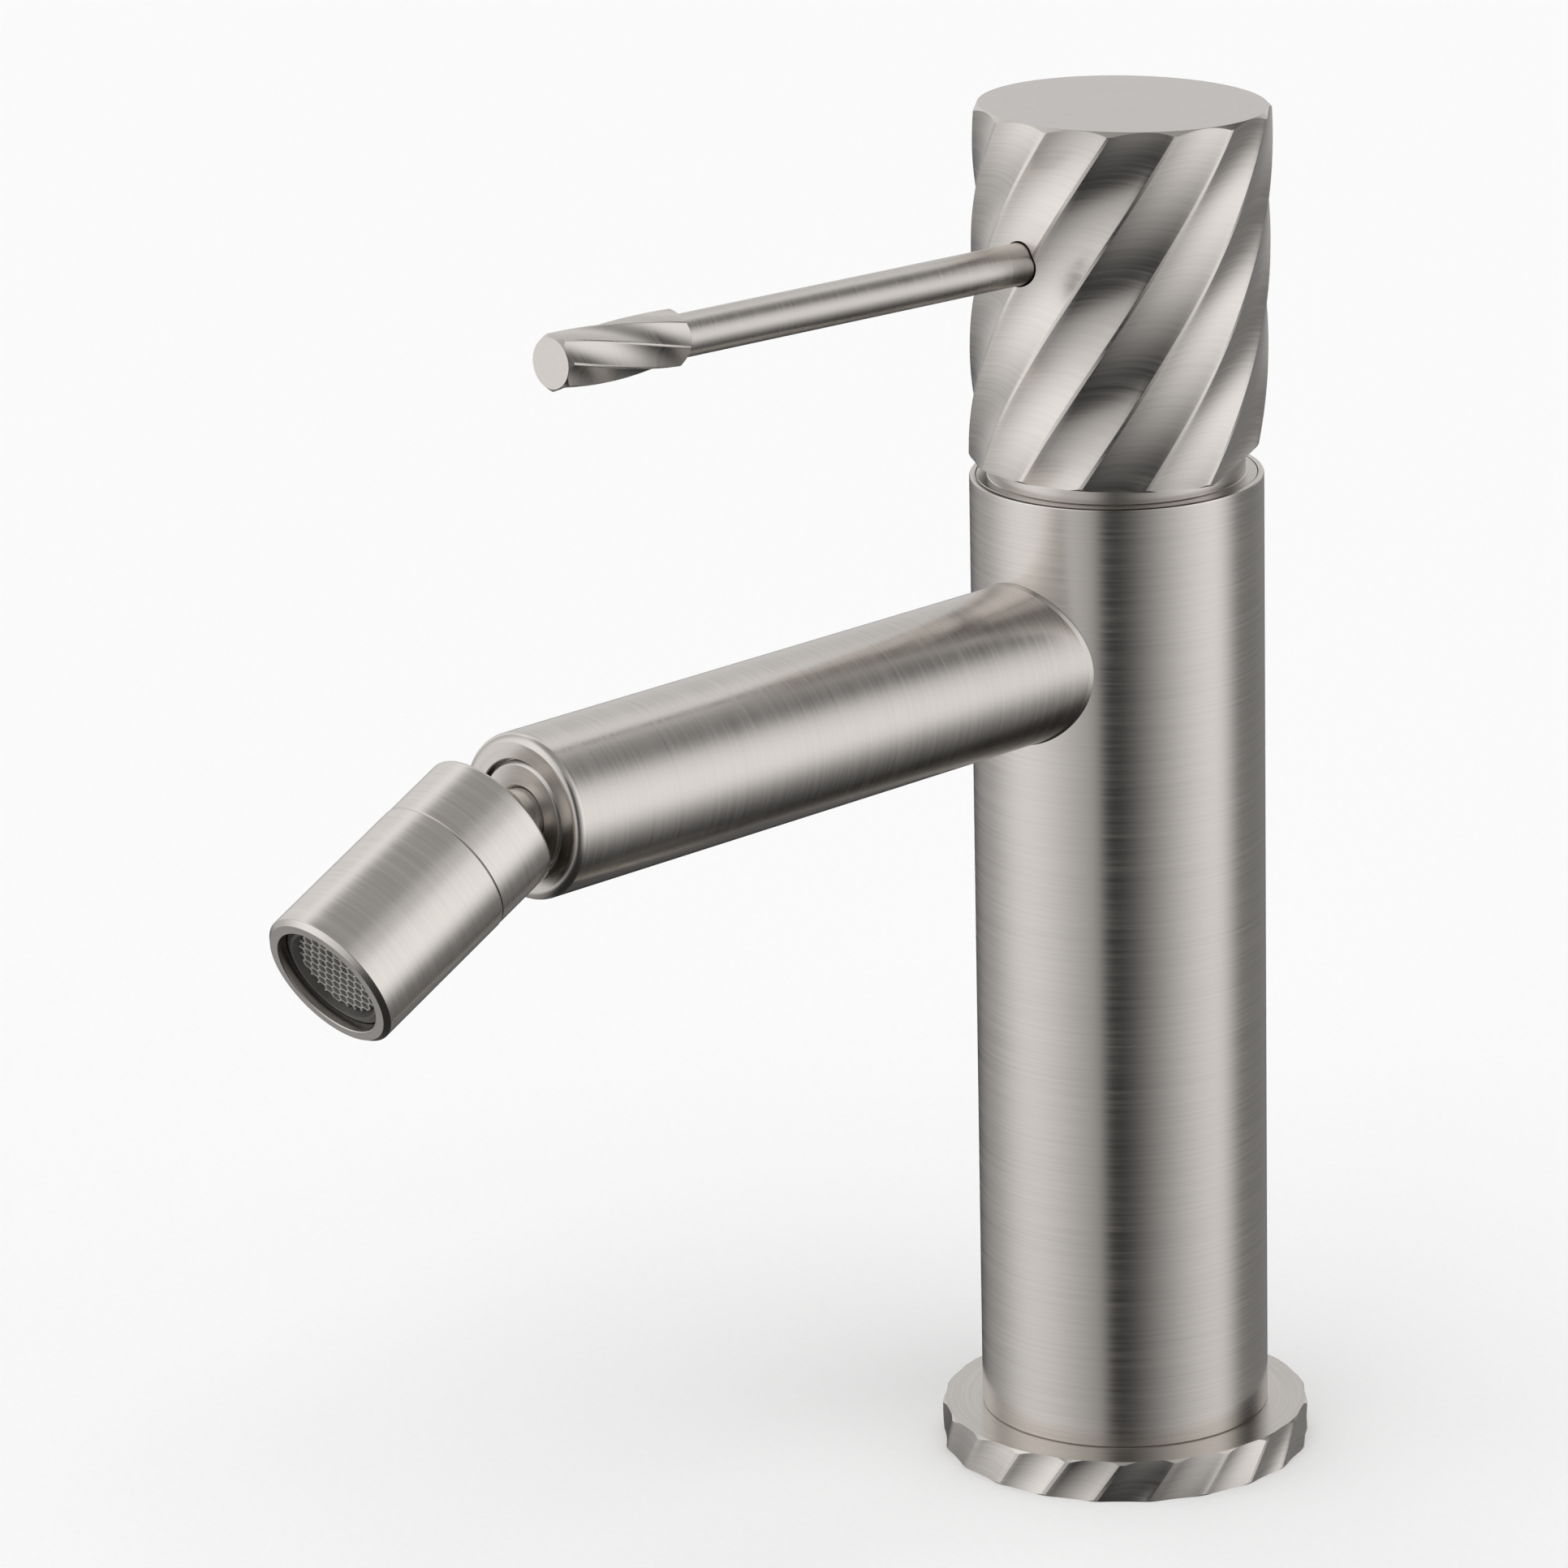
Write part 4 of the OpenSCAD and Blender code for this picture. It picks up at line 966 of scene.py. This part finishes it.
    def build(self) -> None:
        """Makes and dresses the nozzle's pieces."""
        metal = BrushedMetal("brushed_nickel_nozzle", Axis.NOZZLE).material()
        plastic = Moulded("acetal_grey", "4A4845", roughness=0.4, grain=0.2).material()
        # Lighter acetal, with spots of scale from the water
        light = Moulded(
            "acetal_light_grey", "918F8B", roughness=0.36, grain=0.3, mottle=0.15
        ).material()
        finish_piece(self.collar(), "nozzle", "nozzle_collar", metal)
        finish_piece(self.shell(), "nozzle", "nozzle_shell", metal)
        finish_piece(self.housing(), "nozzle", "aerator_housing", plastic)
        finish_piece(self.grille(), "nozzle", "aerator_grille", light)


@dataclass
class Handle:
    """The fluted knob, the lever rod and its fluted tip.

    Attributes:
        knob_r: Radius over the knob's lands.
        foot: Height of the knob's foot above the pivot.
        height: Height of the knob.
        boss_r: Radius of the boss inside.
        rod_r: Radius of the lever rod.
        stud_r: Radius of the thinner studs at both ends of the rod.
        tip_start: Distance from the knob's axis to the tip.
        tip_length: Length of the tip.
        tip_r: Radius over the tip's lands.
    """

    knob_r: float = 20.15
    foot: float = 4.8
    height: float = 48.8
    boss_r: float = 12.0
    rod_r: float = 2.85
    stud_r: float = 1.95
    tip_start: float = 83.1
    tip_length: float = 21.5
    tip_r: float = 3.8

    def knob(self) -> Piece:
        """Makes the hollow fluted knob.

        Returns:
            The piece.
        """
        piece = FlutedBar(
            ridge_r=self.knob_r, count=14, hollow=0.16, land=0.67, base=self.foot,
            length=self.height, twist=1.8, phase=-10.0, low=(0.3, 0.3), high=(0.65, 0.65),
        ).make()
        # The foot's back is cut obliquely, from a line in front of the axis
        slope, cut_start = math.radians(20), 2.5
        take_up(piece)
        open_mesh()
        bpy.ops.mesh.bisect(
            plane_co=(0, -cut_start, self.foot),
            plane_no=(0, -math.sin(slope), math.cos(slope)),
            use_fill=True,
            clear_inner=True,
        )
        bpy.ops.object.mode_set(mode="OBJECT")
        wall, inner, round_r, socket_r, boss_h, socket_h = 3.4, 18.3, 0.6, 7.05, 19.6, 41.95
        roof, boss = self.foot + self.height - wall, self.boss_r
        cavity = [(inner, -OVER), (inner, roof - round_r), (inner - round_r, roof)]
        cavity += [(boss, roof), (boss, boss_h), (socket_r, boss_h), (socket_r, socket_h)]
        cut_away(piece, Turning(cavity, solid=True))
        cut_away(piece, drill(self.rod_r + 0.22, 13, 30), lever_hole())
        return set_in_place(piece, Axis.KNOB, 9)

    def rod(self) -> Piece:
        """Makes the lever rod with its thinner studs in the knob and the tip.

        Returns:
            The piece.
        """
        start, end, bevel, stud = self.boss_r + 0.05, self.tip_start, 0.1, self.stud_r
        profile = [(stud, 8.35), (stud, start), (self.rod_r - bevel, start)]
        profile += [(self.rod_r, start + bevel), (self.rod_r, end - bevel)]
        profile += [(self.rod_r - bevel, end), (stud, end), (stud, end + 11)]
        return Turning(profile, solid=True, sides=96).finished(Axis.LEVER)

    def tip(self) -> Piece:
        """Makes the fluted tip.

        Returns:
            The piece.
        """
        piece = FlutedBar(
            ridge_r=self.tip_r, count=7, hollow=0.14, land=0.3, base=self.tip_start,
            length=self.tip_length, twist=3.4, phase=-11.7, low=(0.5, 0.6), high=(0.5, 0.6),
            level=0.5, broken=0.05,
        ).make()
        depth = self.tip_start + 11.3
        cut_away(piece, drill(self.stud_r + 0.03, self.tip_start - OVER, depth, 48))
        return set_in_place(piece, Axis.LEVER, 9)

    def build(self) -> None:
        """Makes and dresses the handle's pieces."""
        metal = BrushedMetal("brushed_nickel_knob", Axis.KNOB).material()
        satin = BrushedMetal(
            "satin_nickel_lever", Axis.LEVER, roughness=0.3, spread=0.06, depth=0.002
        ).material()
        finish_piece(self.knob(), "handle", "handle_knob", metal)
        finish_piece(self.rod(), "handle", "lever_rod", satin)
        finish_piece(self.tip(), "handle", "lever_tip", satin)


@dataclass
class Cartridge:
    """The pieces inside, which keep their CAD meshes and get their real finish.

    Attributes:
        finishes: The finish of each of the record's slots.
        nickel: Finish of the nickel nodes, all of which a dressed piece stands for.
    """

    finishes: tuple[tuple[str, Finish], ...] = (
        # EPDM from the mould, black and without gloss
        ("rubber", Moulded("epdm_rubber", "1E1E1F", roughness=0.65, grain=0.3)),
        # Lapped alumina, ivory with a soft shine
        ("ceramic", Moulded("alumina_ceramic", "EDEBE4", 0.18, 0.1, 0.0005, 1.7, mottle=0.02)),
        # Acetal from the mould, slightly waxy
        ("white_plastic", Moulded("acetal_white", "DCDCD6", roughness=0.42)),
        ("orange_plastic", Moulded("acetal_orange", "D2671E", roughness=0.4)),
        ("grey_plastic", Moulded("acetal_grey_inside", "3A3A3B", roughness=0.4)),
        ("light_grey_plastic", Moulded("acetal_light_grey", "9A9A98", 0.38, grain=0.15)),
        # Stainless steel and brass from the lathe, a cool grey and a pale yellow
        ("steel", BrushedMetal("stainless_steel_turned", Axis.KNOB, "C9C9C8", 0.28, depth=0.002)),
        ("brass", BrushedMetal("brass_turned", Axis.COLUMN, "D5B878", 0.25)),
    )
    nickel: Finish = BrushedMetal("turned_nickel_inside", Axis.SPOUT, "C6C2BE", 0.2, depth=0.002)

    def build(self) -> None:
        """Dresses every CAD node, and those too that a dressed piece stands for."""
        finishes = dict(self.finishes)
        made: dict[str, bpy.types.Material] = {}
        for part in frame["record"]["subparts"]:
            name, slot = part["node"], part["material_slot"]
            finish = finishes.get(slot, self.nickel)
            if finish.name not in made:
                made[finish.name] = finish.material()
            for holder in frame["nodes"][name].material_slots:
                holder.material = made[finish.name]
            LOG.info("%s: CAD mesh in %s", name, finish.name)


# The studio


@dataclass(frozen=True)
class Softbox:
    """A soft lit panel far round the object.

    Attributes:
        left: Azimuth of its left edge, in degrees round the object from the camera's
            side, positive to the camera's right.
        right: Azimuth of its right edge.
        low: Its lower edge, in degrees above the horizon.
        high: Its upper edge.
        strength: Its brightness.
        left_fade: Width of its soft left edge in degrees.
        right_fade: Width of its soft right edge.
        fade: Width of its soft lower and upper edges.
    """

    left: float
    right: float
    low: float
    high: float
    strength: float
    left_fade: float
    right_fade: float
    fade: float


def soft_edges(low: float, high: float, *fades: float) -> tuple[Point, Point]:
    """Gives the angles where the light starts and is full at a panel's opposite edges."""
    near, far = (fade / 2 for fade in fades)
    return (low - near, low + near), (high + far, high - far)


@dataclass
class Studio:
    """The camera, the floor, the backdrop, the panels and the lamp round the object.

    Attributes:
        azimuth: Angle of the camera to the right of the spout, in degrees.
        elevation: Angle of the camera above the horizon, in degrees.
        roll: Roll of the camera, in degrees.
        distance: Distance of the camera from the aim.
        aim_h: Height of the aim.
        aside: Shift of the camera to its right and upwards.
        lens: Focal length on the sensor.
        sensor: Width of the sensor.
        floor_size: Width of the floor in metres.
        paper: Darkest and lightest tone of its paper.
        fibre: Length of a paper fibre.
        backdrop_r: Radius of the backdrop in metres.
        backdrop_white: Brightness of the backdrop.
        lamp_from: Direction that the lamp shines from.
        lamp_width: Apparent width of the lamp, in degrees.
        lamp_strength: Its strength.
        base: Light between the panels.
        boxes: The panels.
    """

    azimuth: float = 45.9
    elevation: float = 17.43
    roll: float = -1.278
    distance: float = 1112.84
    aim_h: float = 95.0
    aside: Point = (-46.05, 0.737)
    lens: float = 186.14
    sensor: float = 36.0
    floor_size: float = 24.0
    paper: Point = (0.89, 0.93)
    fibre: float = 1 / 0.9
    backdrop_r: float = 11.0
    backdrop_white: float = 0.96
    lamp_from: tuple[float, float, float] = (0.5, -0.3, 1.5)
    lamp_width: float = 50.0
    lamp_strength: float = 1.2
    base: float = 0.032
    boxes: tuple[Softbox, ...] = (
        Softbox(-150, -17, -28, 55, 0.56, 60, 10, 50),
        Softbox(-106, -45, -28, 55, 0.72, 50, 70, 50),
        Softbox(-165, -95, -62, -30, 0.32, 40, 40, 20),
        Softbox(35, 94, -27, 42, 1.3, 90, 30, 44),
        Softbox(92, 168, -42, 12, 0.208, 30, 20, 20),
        Softbox(135, 225, -8, 60, 0.704, 30, 30, 20),
        Softbox(-200, 200, 42, 120, 0.4, 20, 20, 20),
    )

    def camera(self) -> None:
        """Puts the camera where the photograph was taken from."""
        turn, rise, roll = (math.radians(v) for v in (self.azimuth, self.elevation, self.roll))
        level = Vector((math.cos(turn), math.sin(turn), 0))
        ahead = Vector((math.sin(turn), -math.cos(turn), 0))
        back = ahead * math.cos(rise) + Vector((0, 0, math.sin(rise)))
        upright = back.cross(level)
        right = level * math.cos(roll) + upright * math.sin(roll)
        up = upright * math.cos(roll) - level * math.sin(roll)
        place = Vector((0, 0, self.aim_h)) + back * self.distance
        place += right * self.aside[0] + up * self.aside[1]
        facing = Matrix((right, up, back)).transposed().to_4x4()
        data = bpy.data.cameras.new("camera")
        data.lens = self.lens
        data.sensor_width = self.sensor
        camera = bpy.data.objects.new("camera", data)
        camera.matrix_world = Matrix.Translation(place * MILLIMETRE) @ facing
        bpy.context.scene.collection.objects.link(camera)
        bpy.context.scene.camera = camera

    def floor(self) -> None:
        """Lays the pale paper floor, which keeps the object's shadow."""
        deselect_everything()
        bpy.ops.mesh.primitive_plane_add(size=self.floor_size, location=(0, 0, 0))
        floor = bpy.context.object
        floor.name = "floor"
        material, tree = new_material("white_paper_floor")
        place = add_node(tree, "TexCoord", {}).outputs["Object"]
        scale = 1 / (self.fibre * MILLIMETRE)
        grain = add_node(tree, "TexNoise", {"Vector": place, "Scale": scale})
        tones = {TO_MIN: (self.paper[0],) * 3, TO_MAX: (self.paper[1],) * 3}
        inputs = {"Vector": grain.outputs["Fac"], **tones}
        tone = add_node(tree, "MapRange", inputs, data_type="FLOAT_VECTOR")
        paper = add_node(tree, "BsdfDiffuse", {"Color": tone.outputs["Vector"]})
        add_node(tree, "OutputMaterial", {"Surface": paper.outputs[0]})
        floor.data.materials.append(material)
        # The metal mirrors the panels alone, as in the photograph
        floor.visible_glossy = False

    def backdrop(self) -> None:
        """Hangs the white backdrop far round the floor, for views near the horizon."""
        deselect_everything()
        bpy.ops.mesh.primitive_uv_sphere_add(segments=64, ring_count=32, radius=self.backdrop_r)
        backdrop = bpy.context.object
        backdrop.name = "backdrop"
        material, tree = new_material("white_backdrop")
        white = add_node(tree, "Emission", {"Strength": self.backdrop_white})
        add_node(tree, "OutputMaterial", {"Surface": white.outputs[0]})
        backdrop.data.materials.append(material)
        # The light of the panels and the lamp passes it
        for ray in ("diffuse", "glossy", "transmission", "shadow"):
            setattr(backdrop, "visible_" + ray, False)

    def panels(self) -> None:
        """Lights the world with the soft panels."""
        world = bpy.data.worlds.new("studio")
        bpy.context.scene.world = world
        world.use_nodes = True
        tree = world.node_tree
        tree.nodes.clear()
        view = add_node(tree, "TexCoord", {}).outputs["Generated"]
        total: Value = self.base
        for box in self.boxes:
            total = self.panel(tree, box, view, total)
        sky = add_node(tree, "Background", {"Color": (1, 1, 1, 1), "Strength": total})
        add_node(tree, "OutputWorld", {"Surface": sky.outputs[0]})

    def panel(self, tree: Tree, box: Softbox, view: Socket, total: Value) -> Socket:
        """Adds one panel to the world's light.

        Args:
            tree: The world's node tree.
            box: The panel.
            view: The direction.
            total: The light of the panels so far.

        Returns:
            The light with this panel.
        """
        middle = math.radians(self.azimuth - 90 + (box.left + box.right) / 2)
        inputs = {"Vector": view, "Angle": -middle}
        turned = add_node(tree, "VectorRotate", inputs, rotation_type="Z_AXIS")
        apart = add_node(tree, "SeparateXYZ", {0: turned.outputs[0]})
        inputs = {0: apart.outputs["Y"], 1: apart.outputs["X"]}
        azimuth = add_node(tree, "Math", inputs, operation="ARCTAN2")
        height = add_node(tree, "Math", {0: apart.outputs["Z"]}, operation="ARCSINE")
        half = (box.right - box.left) / 2
        sides = soft_edges(-half, half, box.left_fade, box.right_fade)
        ends = soft_edges(box.low, box.high, box.fade, box.fade)
        lit: Value = box.strength
        for angle, edges in ((azimuth, sides), (height, ends)):
            for start, full in edges:
                span = {"From Min": math.radians(start), "From Max": math.radians(full)}
                inputs = {"Value": angle.outputs[0], **span}
                edge = add_node(tree, "MapRange", inputs, interpolation_type="SMOOTHSTEP")
                inputs = {0: lit, 1: edge.outputs[0]}
                lit = add_node(tree, "Math", inputs, operation="MULTIPLY").outputs[0]
        return add_node(tree, "Math", {0: lit, 1: total}).outputs[0]

    def lamp(self) -> None:
        """Hangs the one wide soft lamp, whose shadow lies under the object."""
        data = bpy.data.lights.new("key", "SUN")
        data.angle = math.radians(self.lamp_width)
        data.energy = self.lamp_strength
        lamp = bpy.data.objects.new("key", data)
        facing = Vector(self.lamp_from).to_track_quat("Z", "Y")
        lamp.matrix_world = facing.to_matrix().to_4x4()
        lamp.visible_glossy = False
        bpy.context.scene.collection.objects.link(lamp)

    def build(self) -> None:
        """Sets up the studio."""
        self.camera()
        self.floor()
        self.backdrop()
        self.panels()
        self.lamp()
        bpy.context.scene.view_settings.view_transform = "Standard"


def main() -> None:
    """Builds the mixer and its studio, and notes the sizes."""
    logging.basicConfig(level=logging.INFO, format="%(name)s: %(message)s")
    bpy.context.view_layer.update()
    for assembly in (Column(), Spout(), Nozzle(), Handle(), Cartridge(), Studio()):
        assembly.build()


if __name__ == "__main__":
    main()
